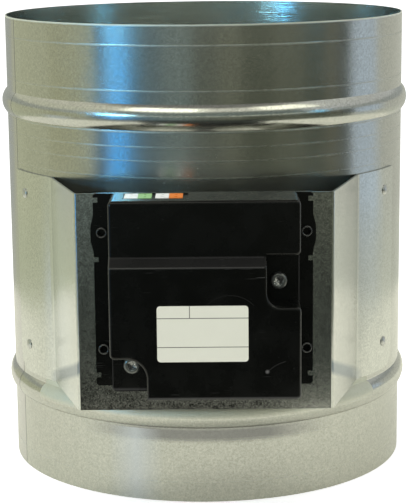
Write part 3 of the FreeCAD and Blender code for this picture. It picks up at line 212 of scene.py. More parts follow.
class Finish:
    """A material with its nodes, started from Blender's main surface shader."""

    def __init__(self, name, **constants):
        self.material = bpy.data.materials.new(name)
        self.material.use_nodes = True
        self.tree = self.material.node_tree
        self.shader = self.tree.nodes["Principled BSDF"]
        self.output = self.tree.nodes["Material Output"]
        self.set(**constants)

    def give(self, socket, value):
        if isinstance(value, Shade):
            self.tree.links.new(value.socket, socket)
        elif hasattr(value, "__len__") and len(value) == 3 and socket.type == "RGBA":
            socket.default_value = (*value, 1.0)
        else:
            socket.default_value = value

    def set(self, **values):
        """Set or link sockets of the surface shader, written with underscores for spaces."""
        for name, value in values.items():
            self.give(self.shader.inputs[name.replace("_", " ").title()], value)

    def node(self, kind, sockets, settings=None, stops=None, out=0):
        """Add a node: its settings and ramp stops first, and then its sockets' values or links."""
        made = self.tree.nodes.new("ShaderNode" + kind)
        for name, value in (settings or {}).items():
            setattr(made, name, value)
        if stops:
            while len(made.color_ramp.elements) < len(stops):
                made.color_ramp.elements.new(0.5)
            for element, (position, tone) in zip(made.color_ramp.elements, stops):
                element.position = position
                element.color = (tone, tone, tone, 1.0)
        for name, value in sockets.items():
            self.give(made.inputs[name], value)
        return Shade(self, made.outputs[out])

    def maths(self, operation, *values):
        return self.node("Math", dict(enumerate(values)), {"operation": operation})

    def clamp(self, value):
        return self.node("Clamp", {0: value})

    def mix(self, mask, plain_color, masked_color):
        """Blend two colours by a mask."""
        return self.node("Mix", {0: mask, 6: plain_color, 7: masked_color}, {"data_type": "RGBA"}, out=2)

    def place(self, scale=(1.0, 1.0, 1.0), turn=(0.0, 0.0, 0.0)):
        """The point on the object, in metres, stretched or turned for a pattern."""
        point = self.node("TexCoord", {}, out=3)
        return self.node("Mapping", {"Vector": point, "Scale": scale, "Rotation": turn})

    def axis(self, vector, letter):
        return self.node("SeparateXYZ", {0: vector}, out="XYZ".index(letter))

    def noise(self, size, detail=2.0, rough=0.5, place=None):
        """Smooth noise from 0 to 1 with features of a size in metres."""
        return self.node("TexNoise", {"Vector": place or self.place(), "Scale": 1 / size, "Detail": detail,
                                      "Roughness": rough})

    def crystals(self, size, place=None):
        """One random tone for each crystal of a size in metres."""
        tone = self.node("TexVoronoi", {"Vector": place or self.place(), "Scale": 1 / size}, out=1)
        return self.axis(tone, "X")

    def specks(self, size, radius, place=None):
        """Small round dots, one near the middle of each cell of a size in metres."""
        away = self.node("TexVoronoi", {"Vector": place or self.place(), "Scale": 1 / size})
        return away < radius / size

    def steep(self, value, low, high):
        """Stretch the part of a value between low and high to the whole range."""
        return self.node("ValToRGB", {0: value}, stops=((low, 0.0), (high, 1.0)))

    def line_at(self, coordinate, middle, width):
        """A soft line where a coordinate is near its middle."""
        return self.clamp(1.0 - abs(coordinate - middle) / (width / 2))

    def between(self, value, low, high):
        """A mask where a value is between two limits."""
        return (value > low) * (value < high)

    def along(self, point, direction):
        """How far a point lies along a direction."""
        return self.node("VectorMath", {0: point, 1: direction}, {"operation": "DOT_PRODUCT"}, out=1)

    def away_from(self, x, z):
        """Distance from a line that runs from front to back at a place on the front."""
        spot = self.place((1.0, 0.0, 1.0))
        return self.node("VectorMath", {0: spot, 1: (x, 0.0, z)}, {"operation": "DISTANCE"}, out=1)

    def bump(self, height, strength, distance, normal=None):
        sockets = {"Height": height, "Strength": strength, "Distance": distance}
        if normal:
            sockets["Normal"] = normal
        return self.node("Bump", sockets)


# Mesh helpers

def wear(node_names, finish):
    """Give CAD nodes a finish."""
    for name in node_names:
        node = NODES[name]
        node.data.materials.clear()
        node.data.materials.append(finish.material)


def new_piece(name, mesh, finish, body):
    """Turn a bmesh into a finished piece that rides on a body."""
    bmesh.ops.remove_doubles(mesh, verts=mesh.verts, dist=1e-7)
    bmesh.ops.recalc_face_normals(mesh, faces=mesh.faces)
    data = bpy.data.meshes.new(name)
    mesh.to_mesh(data)
    mesh.free()
    data.materials.append(finish.material)
    data.shade_smooth()
    piece = bpy.data.objects.new(name, data)
    bpy.context.scene.collection.objects.link(piece)
    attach(piece, body)
    return piece


def turned(profile, segments, sweep=math.tau):
    """Spin a profile of (radius, rise) points about Z."""
    mesh = bmesh.new()
    corners = [mesh.verts.new((radius, 0.0, rise)) for radius, rise in profile]
    edges = [mesh.edges.new(pair) for pair in zip(corners, corners[1:])]
    bmesh.ops.spin(mesh, geom=corners + edges, axis=(0.0, 0.0, 1.0), cent=(0.0, 0.0, 0.0), angle=sweep,
                   steps=segments, use_merge=sweep >= math.tau)
    return mesh


def grow_ring(mesh, edges, scale, rise):
    """Extrude a closed ring of edges to a new size and height, and return the new ring."""
    made = bmesh.ops.extrude_edge_only(mesh, edges=edges)["geom"]
    corners = [item for item in made if isinstance(item, bmesh.types.BMVert)]
    bmesh.ops.scale(mesh, verts=corners, vec=(scale, scale, 1.0))
    bmesh.ops.translate(mesh, verts=corners, vec=(0.0, 0.0, rise))
    return [item for item in made if isinstance(item, bmesh.types.BMEdge)]


def face_front(mesh, x, depth, z):
    """Turn a mesh made about Z so that its top faces the front, and put it in place."""
    bmesh.ops.transform(mesh, matrix=Matrix.Rotation(math.radians(90), 4, "X"), verts=mesh.verts)
    bmesh.ops.translate(mesh, verts=mesh.verts, vec=(x, -depth, z))


def middle_of(node):
    low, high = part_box(node)
    return (low + high) / 2


# Galvanised sheet

def shaded(color, plain_color, dull_color):
    """A colour dulled as much as a dull colour differs from a plain one."""
    return [part * dull / base for part, base, dull in zip(color, plain_color, dull_color)]


def zinc_surface(name, looks, zinc, streak_turn, dull=0.0):
    """Zinc coat with crystals, flecks, draw streaks and dull patches."""
    finish = Finish(name, metallic=1.0)
    crystal = finish.crystals(looks.spangle_size)
    fleck = finish.steep(finish.noise(looks.fleck_size, 2.0, 0.6), 0.34, 0.66)
    grain = finish.noise(looks.grain_size, 2.0, 0.6)
    smudge = finish.steep(finish.noise(looks.smudge_size, 3.0, 0.55), 0.42, 0.68)
    streak = finish.noise(looks.grain_size * 4, 2.0, 0.5, finish.place((1.0, 1.0, 0.03), streak_turn))
    tone = finish.clamp(0.3 * crystal + 0.55 * fleck + 0.15 * streak + dull * smudge)
    color = finish.mix(tone, zinc, shaded(zinc, looks.zinc, looks.dark_zinc))
    roughness = looks.roughness + 0.02 + 0.04 * crystal + 0.05 * (grain - 0.5) + 0.05 * smudge
    normal = finish.bump(crystal, 0.03, 0.12 * MM)
    normal = finish.bump(grain, 0.08, 0.08 * MM, normal)
    finish.set(base_color=color, roughness=roughness, normal=normal)
    return finish, color, roughness, normal


ROLL_LINES = ((9.5 * MM, 0.9), (30.1 * MM, 0.7), (48.7 * MM, 0.8), (55.5 * MM, 0.45), (61.9 * MM, 0.4),
              (69.7 * MM, 0.35))
LOWER_SHARE = 0.3


def roller_lines(finish, looks, height):
    """Rubbed lines that the bead rollers leave at both ends of the duct, broken up along their length."""
    lines = 0.0
    for rise, strength in ROLL_LINES:
        for level, share_of in ((TUBE_HIGH.z - rise, 1.0), (rise, LOWER_SHARE)):
            lines = lines + strength * share_of * finish.line_at(height, level, looks.roll_line_width)
    broken = finish.steep(finish.noise(14 * MM, 2.0, 0.6, finish.place((1.0, 1.0, 0.05))), 0.2, 0.5)
    speckle = 0.55 + 0.9 * finish.noise(0.9 * MM, 2.0, 0.6)
    return finish.clamp(lines * speckle) * broken


LAP_FLANK = 80 * MM


def lap_marks(finish, looks, point):
    """The dark line of the lengthwise lap, and the greyer strip of sheet beyond it."""
    lean, rise = math.sin(looks.lap_angle), math.cos(looks.lap_angle)
    flank = finish.along(point, Vector((-lean, -rise, 0.0))) > LAP_FLANK
    offset = finish.along(point, Vector((-rise, lean, 0.0)))
    line = finish.line_at(offset, 0.0, looks.lap_line_width)
    strip = finish.between(offset, 0.0, looks.lap_strip_width)
    return line * flank, strip * flank


SKIN_MIDDLE = 99.2 * MM
FRONT_SHARE = 0.6
RIM_START, RIM_FADE = 0.9 * MM, 0.5 * MM
BEAD_TOP, BEAD_TOP_WIDTH = 46.8 * MM, 13 * MM
BEAD_FOOT, BEAD_FOOT_WIDTH = 33 * MM, 9 * MM
BEAD_FOOT_REACH, BEAD_FOOT_FADE = 60 * MM, 30 * MM
STRIPE_MIDDLE, STRIPE_WIDTH, STRIPE_TOP = -33.5 * MM, 26 * MM, 35 * MM


def duct_finish(looks):
    """Zinc coat of the duct: roller lines, lap, painted light inside and along the cut rim, and painted
    light, shade and a blue reflection at the lower bead.
    """
    finish, color, roughness, normal = zinc_surface("galvanised_duct", looks, looks.zinc, (0.0, 0.0, 0.0))
    point = finish.place()
    x, y, height = (finish.axis(point, letter) for letter in "XYZ")
    reach = finish.node("VectorMath", {0: finish.place((1.0, 1.0, 0.0))}, {"operation": "LENGTH"}, out=1)
    inside = reach < SKIN_MIDDLE
    outside = 1.0 - inside
    drawn = finish.noise(0.5 * MM, 1.0, 0.5, finish.place((0.03, 0.03, 1.0)))
    # Painted light: inside the duct the colour turns lighter and bluer, for the bluish light reflected
    # there.
    color = finish.mix(inside, color, looks.inside_zinc_with_painted_light)
    roughness = roughness + inside * (looks.inside_roughness - looks.roughness)
    normal = finish.bump(inside * drawn, 0.4, 0.08 * MM, normal)
    lines = roller_lines(finish, looks, height) * outside
    lap, strip = (mask * outside for mask in lap_marks(finish, looks, point))
    # Painted highlight: a pale, rougher line along the cut top rim.
    rim = finish.clamp((height - TUBE_HIGH.z + RIM_START) / RIM_FADE) * outside
    front = y < -FRONT_SHARE * TUBE_HIGH.x
    # Painted highlight: a lighter, rougher zone at the front over the upper slope of the lower bead.
    bead_highlight = finish.clamp(2.2 * finish.line_at(height, BEAD_TOP, BEAD_TOP_WIDTH)) * front
    # Painted shade: a darker zone at the front under the lower bead.
    middle = finish.clamp((BEAD_FOOT_REACH - abs(x)) / BEAD_FOOT_FADE)
    below = finish.clamp(1.6 * finish.line_at(height, BEAD_FOOT, BEAD_FOOT_WIDTH)) * middle * front
    # Painted reflection: a bluish stripe low on the front, left of the middle.
    blue_reflection = finish.line_at(x, STRIPE_MIDDLE, STRIPE_WIDTH) * (height < STRIPE_TOP) * front
    for mask, strength, tone in ((lines, 0.25, (0.80, 0.80, 0.74)), (strip, 0.55, (0.55, 0.53, 0.545)),
                                 (lap, 0.95, (0.06, 0.06, 0.055)), (rim, 1.0, (0.92, 0.92, 0.86)),
                                 (bead_highlight, 0.7, (0.80, 0.80, 0.70)), (below, 0.8, (0.20, 0.20, 0.21)),
                                 (blue_reflection, 0.7, (0.56, 0.60, 0.68))):
        color = finish.mix(strength * mask, color, tone)
    rough = finish.clamp(roughness + 0.34 * lines + 0.3 * lap + 0.45 * rim + 0.42 * bead_highlight)
    normal = finish.bump(0.4 * lines - lap, 0.5, 0.2 * MM, normal)
    finish.set(base_color=color, roughness=rough, normal=normal)
    return finish


PLATE_FRONT = 117.9 * MM
RIGHT_START, RIGHT_FADE, RIGHT_HEIGHT = 25 * MM, 30 * MM, 60 * MM
WING_MIDDLE, WING_WIDTH = 68 * MM, 22 * MM
BAND_REACH, BAND_FADE, BAND_WIDTH = 76 * MM, 7 * MM, 8 * MM
BAND_HEIGHT, BAND_SLOPE = 134 * MM, 1.1


def bracket_finish(looks):
    """Newer zinc coat of the bracket, with painted shade on its flat front plate and painted reflections on
    its wings.
    """
    finish, color, roughness, normal = zinc_surface("galvanised_bracket", looks, looks.bright_zinc,
                                                    (0.0, 0.0, 0.0), dull=0.12)
    point = finish.place()
    x, y, z = (finish.axis(point, letter) for letter in "XYZ")
    front = y < -PLATE_FRONT
    wings = 1.0 - front
    rise = z - BRACKET_LOW.z
    patches, speckle = finish.noise(3.4 * MM, 3.0, 0.65), finish.noise(0.7 * MM, 2.0, 0.6)
    mottle = 0.5 * (patches - 0.5) + 1.15 * (speckle - 0.5)
    # Painted shade on the front plate, darker towards its lower edge, with a painted lighter zone at its
    # lower right; the mottle is the zinc's own.
    right = finish.clamp((x - RIGHT_START) / RIGHT_FADE)
    low_right = right * finish.clamp(1.0 - rise / RIGHT_HEIGHT)
    foot = looks.foot_shade * finish.clamp(1.0 - rise / looks.foot_height) * (1.0 - right) - 0.22 * low_right
    shade = finish.clamp(front * (looks.plate_shade + foot + mottle))
    # Painted reflections on the wing flats: lighter and bluish on the left wing, darker on the right.
    inner = finish.line_at(abs(x), WING_MIDDLE, WING_WIDTH) * wings
    # Painted reflection: a dark bluish slanting strip low on each wing, fading out towards the outer edges.
    outer = finish.clamp((BAND_REACH - abs(x)) / BAND_FADE) * wings
    reflected_band = outer * finish.clamp(1.8 * finish.line_at(z + BAND_SLOPE * abs(x), BAND_HEIGHT, BAND_WIDTH))
    for mask, strength, tone in ((shade, 1.0, (0.01, 0.01, 0.01)),
                                 (inner * (x < 0.0), 0.55, (0.72, 0.76, 0.80)),
                                 (inner * (x > 0.0), 0.55, (0.42, 0.42, 0.40)),
                                 (reflected_band, 0.9, (0.22, 0.26, 0.30))):
        color = finish.mix(strength * mask, color, tone)
    finish.set(base_color=color, roughness=roughness)
    return finish


class DAMPER_OT_sheet(bpy.types.Operator):
    """Finish the duct, the bracket and the blade as zinc-coated sheet"""
    bl_idname = "damper.sheet"
    bl_label = "Galvanised sheet"

    def execute(self, context):
        looks = context.scene.damper_sheet
        wear(["duct_tube"], duct_finish(looks))
        wear(["bracket"], bracket_finish(looks))
        level = (math.radians(90), 0.0, 0.0)
        blade = zinc_surface("galvanised_blade", looks, looks.zinc, level, dull=0.2)[0]
        wear(["blade_disc_left", "blade_disc_right"], blade)
        return {"FINISHED"}


class DAMPER_OT_fasteners(bpy.types.Operator):
    """Finish the rivets, the shaft, its clip and the axles"""
    bl_idname = "damper.fasteners"
    bl_label = "Rivets and shaft"

    def execute(self, context):
        plated = Finish("zinc_plated", metallic=1.0)
        rub = plated.noise(1.2 * MM, 3.0, 0.6)
        plated.set(base_color=plated.mix(rub, (0.66, 0.66, 0.64), (0.46, 0.46, 0.45)),
                   roughness=0.26 + 0.18 * rub, normal=plated.bump(rub, 0.15, 0.1 * MM))
        wear(["wing_rivets", "blade_rivets", "shaft_rivets"], plated)
        steel = Finish("turned_steel", metallic=1.0)
        turning = steel.noise(0.25 * MM, 2.0, 0.5, steel.place((0.02, 1.0, 0.02)))
        steel.set(base_color=steel.mix(turning, (0.60, 0.60, 0.60), (0.42, 0.42, 0.43)),
                  roughness=0.22 + 0.14 * turning, normal=steel.bump(turning, 0.2, 0.06 * MM))
        wear(["blade_shaft", "shaft_clip", "second_gear_axle", "first_gear_axle", "axle_clips", "motor_can",
              "pin_header"], steel)
        return {"FINISHED"}


class DAMPER_OT_seal(bpy.types.Operator):
    """Finish the rubber seal and the plastic bushings"""
    bl_idname = "damper.seal"
    bl_label = "Seal and bushings"

    def execute(self, context):
        rubber = Finish("seal_rubber", metallic=0.0)
        bloom = rubber.noise(6 * MM, 4.0, 0.6)
        rubber.set(base_color=rubber.mix(bloom, (0.022, 0.022, 0.022), (0.055, 0.054, 0.052)),
                   roughness=0.62 + 0.2 * bloom, normal=rubber.bump(rubber.noise(0.3 * MM), 0.2, 0.1 * MM))
        wear(["blade_seal"], rubber)
        bush = Finish("bushing_plastic")
        mottle = bush.noise(2 * MM, 3.0, 0.6)
        bush.set(base_color=bush.mix(mottle, (0.028, 0.028, 0.028), (0.045, 0.045, 0.046)),
                 roughness=0.42 + 0.12 * mottle, normal=bush.bump(mottle, 0.1, 0.1 * MM))
        wear(["front_bushing", "rear_bushing", "plate_bushing"], bush)
        return {"FINISHED"}


# Housing

def cover_edge_highlights_and_wear(finish):
    """Painted highlights on the cover's edges and slope, a faint moulded ring over the label and a curved
    scuff.
    """
    point = finish.place()
    x, y, z = (finish.axis(point, letter) for letter in "XYZ")
    # Painted highlights: pale lines along the cover's side edges, its lower edge and the creases of its
    # slope, and a slightly lighter slope as a painted reflection.
    left_side = finish.line_at(x, COVER_LOW.x + 0.3 * MM, 0.8 * MM)
    sides = left_side + finish.line_at(x, COVER_HIGH.x - 0.3 * MM, 0.8 * MM)
    foot = finish.line_at(z, COVER_LOW.z + 0.9 * MM, 1.8 * MM)
    stepped = finish.between(y, COVER_LOW.y + 0.1 * MM, COVER_LOW.y + 4.9 * MM)
    slope = finish.between(z, SLOPE_LOW, SLOPE_HIGH) * stepped
    low_crease = finish.line_at(z, SLOPE_LOW + 0.8 * MM, 0.9 * MM)
    creases = (low_crease + 0.5 * finish.line_at(z, SLOPE_HIGH, 0.9 * MM)) * (x < SLOPE_RIGHT)
    ring = finish.line_at(finish.away_from(*RING_MIDDLE), RING_RADIUS, 0.5 * MM) * (z > RING_END)
    scuff = finish.line_at(finish.away_from(*SCUFF_MIDDLE), SCUFF_RADIUS, 0.6 * MM)
    scuff = scuff * finish.between(x, SCUFF_END[0], SCUFF_END[0] + 8 * MM) * (z > SCUFF_END[1])
    smear = finish.clamp(1.0 - finish.away_from(*SCUFF_END) / (1.1 * MM))
    return finish.clamp(0.26 * sides + 0.4 * foot + 0.04 * slope + 0.2 * creases + 0.09 * ring + 0.16 * scuff
                        + 1.3 * smear)


SLOPE_LOW, SLOPE_HIGH, SLOPE_RIGHT = 122.2 * MM, 126.8 * MM, 26 * MM
RING_MIDDLE, RING_RADIUS, RING_END = (11.1 * MM, 96.9 * MM), 14 * MM, 106.4 * MM
SCUFF_MIDDLE, SCUFF_RADIUS = (39.5 * MM, 64.5 * MM), 17.3 * MM
SCUFF_END = (27.2 * MM, 76.7 * MM)


def housing_finish(name, looks, worn, edges=None):
    """Black plastic with a fine grain, fine scratches and dust specks."""
    finish = Finish(name)
    grain = finish.noise(looks.grain_size, 2.0, 0.6)
    cloud = finish.steep(finish.noise(16 * MM, 3.0, 0.6), 0.4, 0.75)
    rubs = 0.0
    for turn in (18, 74, 131):
        stretched = finish.place((0.06, 1.0, 1.0), (0.0, math.radians(turn), 0.0))
        rubs = rubs + finish.steep(finish.noise(0.9 * MM, 1.0, 0.5, stretched), 0.74, 0.82)
    patches = finish.steep(finish.noise(13 * MM, 1.0, 0.5), 0.5, 0.66)
    rubs = finish.clamp(rubs) * patches
    dust = finish.specks(3.1 * MM, 0.14 * MM) * finish.steep(finish.noise(9 * MM, 1.0, 0.5), 0.46, 0.6)
    marks = finish.clamp(0.22 * rubs + 0.5 * dust + 0.008 * cloud) * worn
    # For the cover, edges adds painted highlights along its edges and slope.
    if edges:
        marks = finish.clamp(marks + edges(finish))
    roughness = looks.roughness + 0.06 * grain + 0.12 * cloud + 0.25 * rubs + 0.4 * dust
    finish.set(base_color=finish.mix(marks, looks.black, looks.dust), roughness=finish.clamp(roughness),
               normal=finish.bump(grain, 0.06, 0.06 * MM))
    finish.give(finish.shader.inputs["Specular IOR Level"], looks.sheen)
    return finish


class DAMPER_OT_housing(bpy.types.Operator):
    """Finish the moulded housing, its base and the terminal block"""
    bl_idname = "damper.housing"
    bl_label = "Moulded housing"

    def execute(self, context):
        looks = context.scene.damper_housing
        wear(["actuator_cover"], housing_finish("housing_black", looks, 1.0, cover_edge_highlights_and_wear))
        wear(["actuator_base", "terminal_block"], housing_finish("base_black", looks, 0.6))
        return {"FINISHED"}


class DAMPER_OT_collars(bpy.types.Operator):
    """Model the rounded collars round the four holes in the housing's flange"""
    bl_idname = "damper.collars"
    bl_label = "Flange collars"

    def execute(self, context):
        sizes = context.scene.damper_fittings
        finish = Finish("collar_black")
        flow = finish.noise(0.8 * MM, 2.0, 0.5)
        finish.set(base_color=finish.mix(flow, (0.030, 0.031, 0.029), (0.018, 0.019, 0.018)),
                   roughness=0.2 + 0.1 * flow, normal=finish.bump(flow, 0.05, 0.05 * MM))
        finish.give(finish.shader.inputs["Specular IOR Level"], 0.9)
        outer, inner, rise = sizes.collar_outer, sizes.collar_inner, sizes.collar_rise
        middle, half = (outer + inner) / 2, (outer - inner) / 2
        bow = [(middle - half * math.cos(turn), rise * math.sin(turn))
               for turn in (math.radians(step * 22.5) for step in range(9))]
        for name, x, z in COLLARS:
            mesh = turned([*bow, (outer, -COLLAR_SEAT), (inner, -COLLAR_SEAT), bow[0]], sizes.segments)
            face_front(mesh, x, COLLAR_DEPTH, z)
            new_piece("collar_" + name, mesh, finish, "damper_body")
        return {"FINISHED"}


COLLARS = (("upper_left", -45.6 * MM, 134.0 * MM), ("upper_right", 45.65 * MM, 134.0 * MM),
           ("lower_left", -45.6 * MM, 80.6 * MM), ("lower_right", 45.65 * MM, 80.6 * MM))
COLLAR_DEPTH = 121.8 * MM
COLLAR_SEAT = 0.05 * MM


class DAMPER_OT_label(bpy.types.Operator):
    """Finish the bare label with its divider lines"""
    bl_idname = "damper.label"
    bl_label = "Label"

    def execute(self, context):
        looks = context.scene.damper_housing
        finish = Finish("label_paper")
        point = finish.place()
        x, y, z = (finish.axis(point, letter) for letter in "XYZ")
        upper = LABEL_HIGH.z + (LABEL_LOW.z - LABEL_HIGH.z) * UPPER_LINE_SHARE
        lower = LABEL_HIGH.z + (LABEL_LOW.z - LABEL_HIGH.z) * LOWER_LINE_SHARE
        post = LABEL_LOW.x + (LABEL_HIGH.x - LABEL_LOW.x) * SHORT_LINE_SHARE
        width = looks.line_width
        lines = finish.line_at(z, upper, width) + finish.line_at(z, lower, width)
        lines = lines + finish.line_at(x, post, width) * (z > upper)
        front = y < LABEL_LOW.y + 0.02 * MM
        fibres = finish.noise(0.5 * MM, 3.0, 0.6)
        cloud = finish.noise(11 * MM, 2.0, 0.5)
        paper = finish.mix(0.25 * fibres + 0.35 * cloud, looks.label, [0.86 * part for part in looks.label])
        finish.set(base_color=finish.mix(finish.clamp(1.3 * lines) * front, paper, looks.label_ink),
                   roughness=0.38 + 0.14 * cloud, normal=finish.bump(fibres, 0.08, 0.05 * MM))
        wear(["label_plate"], finish)
        return {"FINISHED"}


UPPER_LINE_SHARE = 0.219
LOWER_LINE_SHARE = 0.735
SHORT_LINE_SHARE = 0.358


def cross_outline(mesh, length, width):
    """Closed outline of a cross, as edges in the level plane."""
    long, short = length / 2, width / 2
    quarter = [(long, -short), (long, short), (short, short)]
    corners = []
    for turn in range(4):
        spin = Matrix.Rotation(turn * math.radians(90), 2)
        corners += [mesh.verts.new((*(spin @ Vector(spot)), 0.0)) for spot in quarter]
    return [mesh.edges.new(pair) for pair in zip(corners, corners[1:] + corners[:1])]


def screw_head(sizes):
    """Pan head about Z with a tapered cross recess; it sits on the level plane."""
    mesh = bmesh.new()
    crown = CROWN_SHARE * sizes.screw_radius
    bmesh.ops.create_circle(mesh, cap_ends=False, radius=crown, segments=sizes.segments)
    rim = list(mesh.edges)
    recess = cross_outline(mesh, sizes.recess_length, sizes.recess_width)
    bmesh.ops.triangle_fill(mesh, use_beauty=True, edges=rim + recess)
    floor = grow_ring(mesh, recess, 0.72, -sizes.recess_depth)
    bmesh.ops.triangle_fill(mesh, use_beauty=True, edges=floor)
    reach = 1.0
    for target, drop in PAN_STEPS:
        rim = grow_ring(mesh, rim, target / reach, -drop * sizes.screw_rise)
        reach = target
    bmesh.ops.translate(mesh, verts=mesh.verts, vec=(0.0, 0.0, sizes.screw_rise))
    return mesh


CROWN_SHARE = 0.74
PAN_STEPS = ((1.12, 0.045), (1.22, 0.09), (1.3, 0.16), (1.345, 0.17), (1.351, 0.18), (1.351, 0.355))


class DAMPER_OT_screws(bpy.types.Operator):
    """Model the heads of the two cover screws with their cross recesses"""
    bl_idname = "damper.screws"
    bl_label = "Cover screws"

    def execute(self, context):
        looks, sizes = context.scene.damper_housing, context.scene.damper_fittings
        finish = Finish("screw_finish", metallic=0.85)
        wear_tone = finish.noise(0.8 * MM, 3.0, 0.6)
        color = finish.mix(wear_tone, looks.screw, [0.45 * part for part in looks.screw])
        for node in ("cover_screw_upper", "cover_screw_lower"):
            middle = middle_of(node)
            core = finish.away_from(middle.x, middle.z) < sizes.recess_length / 2
            color = finish.mix(core * finish.steep(wear_tone, 0.48, 0.68), color, (0.85, 0.86, 0.84))
        finish.set(base_color=color, roughness=0.25 + 0.2 * wear_tone,
                   normal=finish.bump(wear_tone, 0.25, 0.12 * MM))
        for name, turn in (("upper", 24), ("lower", 58)):
            node = "cover_screw_" + name
            low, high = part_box(node)
            mesh = screw_head(sizes)
            bmesh.ops.rotate(mesh, verts=mesh.verts, matrix=Matrix.Rotation(math.radians(turn), 3, "Z"))
            shank = mesh_of_shank(sizes, high.y - low.y)
            shank_data = bpy.data.meshes.new("shank")
            shank.to_mesh(shank_data)
            shank.free()
            mesh.from_mesh(shank_data)
            bpy.data.meshes.remove(shank_data)
            middle = middle_of(node)
            face_front(mesh, middle.x, -low.y - sizes.screw_rise, middle.z)
            piece = new_piece("screw_" + name, mesh, finish, "damper_body")
            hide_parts(node)
        return {"FINISHED"}


def mesh_of_shank(sizes, whole):
    """Plain shank below the head, closed at both ends."""
    reach = whole - sizes.screw_rise
    radius = 0.41 * sizes.screw_radius
    seat = PAN_STEPS[-1][0] * CROWN_SHARE * sizes.screw_radius
    profile = [(0.0, -reach), (radius * 0.6, -reach), (radius, -reach + 0.6 * MM), (radius, 0.0),
               (seat, 0.0)]
    return turned(profile, sizes.segments)


class DAMPER_OT_terminals(bpy.types.Operator):
    """Finish the coloured plugs"""
    bl_idname = "damper.terminals"
    bl_label = "Plugs"

    def execute(self, context):
        looks = context.scene.damper_housing
        for name, color in (("plug_white_left", looks.white), ("plug_white_right", looks.white),
                            ("plug_green", looks.green), ("plug_orange", looks.orange)):
            finish = Finish("moulded_" + name)
            flow = finish.noise(1.5 * MM, 3.0, 0.55)
            finish.set(base_color=finish.mix(flow, list(color), [0.82 * part for part in color]),
                       roughness=0.32 + 0.12 * flow, normal=finish.bump(flow, 0.06, 0.1 * MM))
            wear([name], finish)
        return {"FINISHED"}


class DAMPER_OT_works(bpy.types.Operator):
    """Finish the gears, the circuit board and its parts inside the housing"""
    bl_idname = "damper.works"
    bl_label = "Works inside"

    def execute(self, context):
        gears = Finish("gear_plastic")
        flow = gears.noise(3 * MM, 3.0, 0.55)
        gears.set(base_color=gears.mix(flow, (0.78, 0.76, 0.70), (0.66, 0.63, 0.56)),
                  roughness=0.4 + 0.12 * flow, normal=gears.bump(flow, 0.08, 0.1 * MM))
        wear(["output_gear", "second_gear", "first_gear"], gears)
        brass = Finish("pinion_brass", metallic=1.0)
        rub = brass.noise(0.7 * MM, 3.0, 0.6)
        brass.set(base_color=brass.mix(rub, (0.78, 0.60, 0.26), (0.58, 0.42, 0.16)),
                  roughness=0.24 + 0.16 * rub, normal=brass.bump(rub, 0.15, 0.1 * MM))
        wear(["motor_pinion"], brass)
        board = Finish("circuit_board")
        tracks = board.steep(board.noise(1.6 * MM, 1.0, 0.3, board.place((1.0, 1.0, 0.4))), 0.5, 0.53)
        holes = board.specks(3.2 * MM, 0.3 * MM)
        color = board.mix(tracks, (0.012, 0.105, 0.042), (0.024, 0.16, 0.066))
        board.set(base_color=board.mix(holes, color, (0.55, 0.50, 0.36)), roughness=0.3 + 0.1 * tracks,
                  normal=board.bump(tracks, 0.1, 0.1 * MM))
        wear(["circuit_board"], board)
        chip = Finish("chip_moulding")
        grain = chip.noise(0.2 * MM, 2.0, 0.6)
        chip.set(base_color=chip.mix(grain, (0.02, 0.02, 0.021), (0.035, 0.035, 0.036)),
                 roughness=0.5 + 0.15 * grain, normal=chip.bump(grain, 0.15, 0.05 * MM))
        wear(["control_chip"], chip)
        sleeve = Finish("capacitor_sleeve")
        film = sleeve.noise(2 * MM, 2.0, 0.5)
        low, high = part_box("capacitor")
        depth = sleeve.axis(sleeve.place(), "Y")
        lid = depth < low.y + 0.02 * MM
        color = sleeve.mix(film, (0.07, 0.09, 0.19), (0.05, 0.065, 0.14))
        sleeve.set(base_color=sleeve.mix(lid, color, (0.6, 0.6, 0.61)), metallic=lid,
                   roughness=0.25 + 0.1 * film)
        wear(["capacitor"], sleeve)
        return {"FINISHED"}


# Studio

def camera_axes(setup):
    """Right, up and backward directions of the camera from its pitch, yaw and roll."""
    aside, along = math.sin(setup.camera_yaw), math.cos(setup.camera_yaw)
    level_share = math.cos(setup.camera_pitch)
    ahead = Vector((aside * level_share, along * level_share, -math.sin(setup.camera_pitch)))
    level = Vector((along, -aside, 0.0))
    above = level.cross(ahead)
    lean, rise = math.cos(setup.camera_roll), math.sin(setup.camera_roll)
    return lean * level - rise * above, rise * level + lean * above, -ahead


def make_camera(setup):
    data = bpy.data.cameras.new("photo_camera")
    data.lens = setup.camera_lens
    data.sensor_width = 36.0
    data.clip_start, data.clip_end = 0.05, 50.0
    camera = bpy.data.objects.new("photo_camera", data)
    bpy.context.scene.collection.objects.link(camera)
    turn = Matrix(camera_axes(setup)).transposed().to_4x4()
    place = Vector((setup.camera_left, -setup.camera_front, setup.camera_height))
    camera.matrix_world = Matrix.Translation(place) @ turn
    bpy.context.scene.camera = camera


def stage_piece(name, mesh, finish):
    data = bpy.data.meshes.new(name)
    mesh.to_mesh(data)
    mesh.free()
    data.materials.append(finish.material)
    piece = bpy.data.objects.new(name, data)
    bpy.context.scene.collection.objects.link(piece)
    return piece


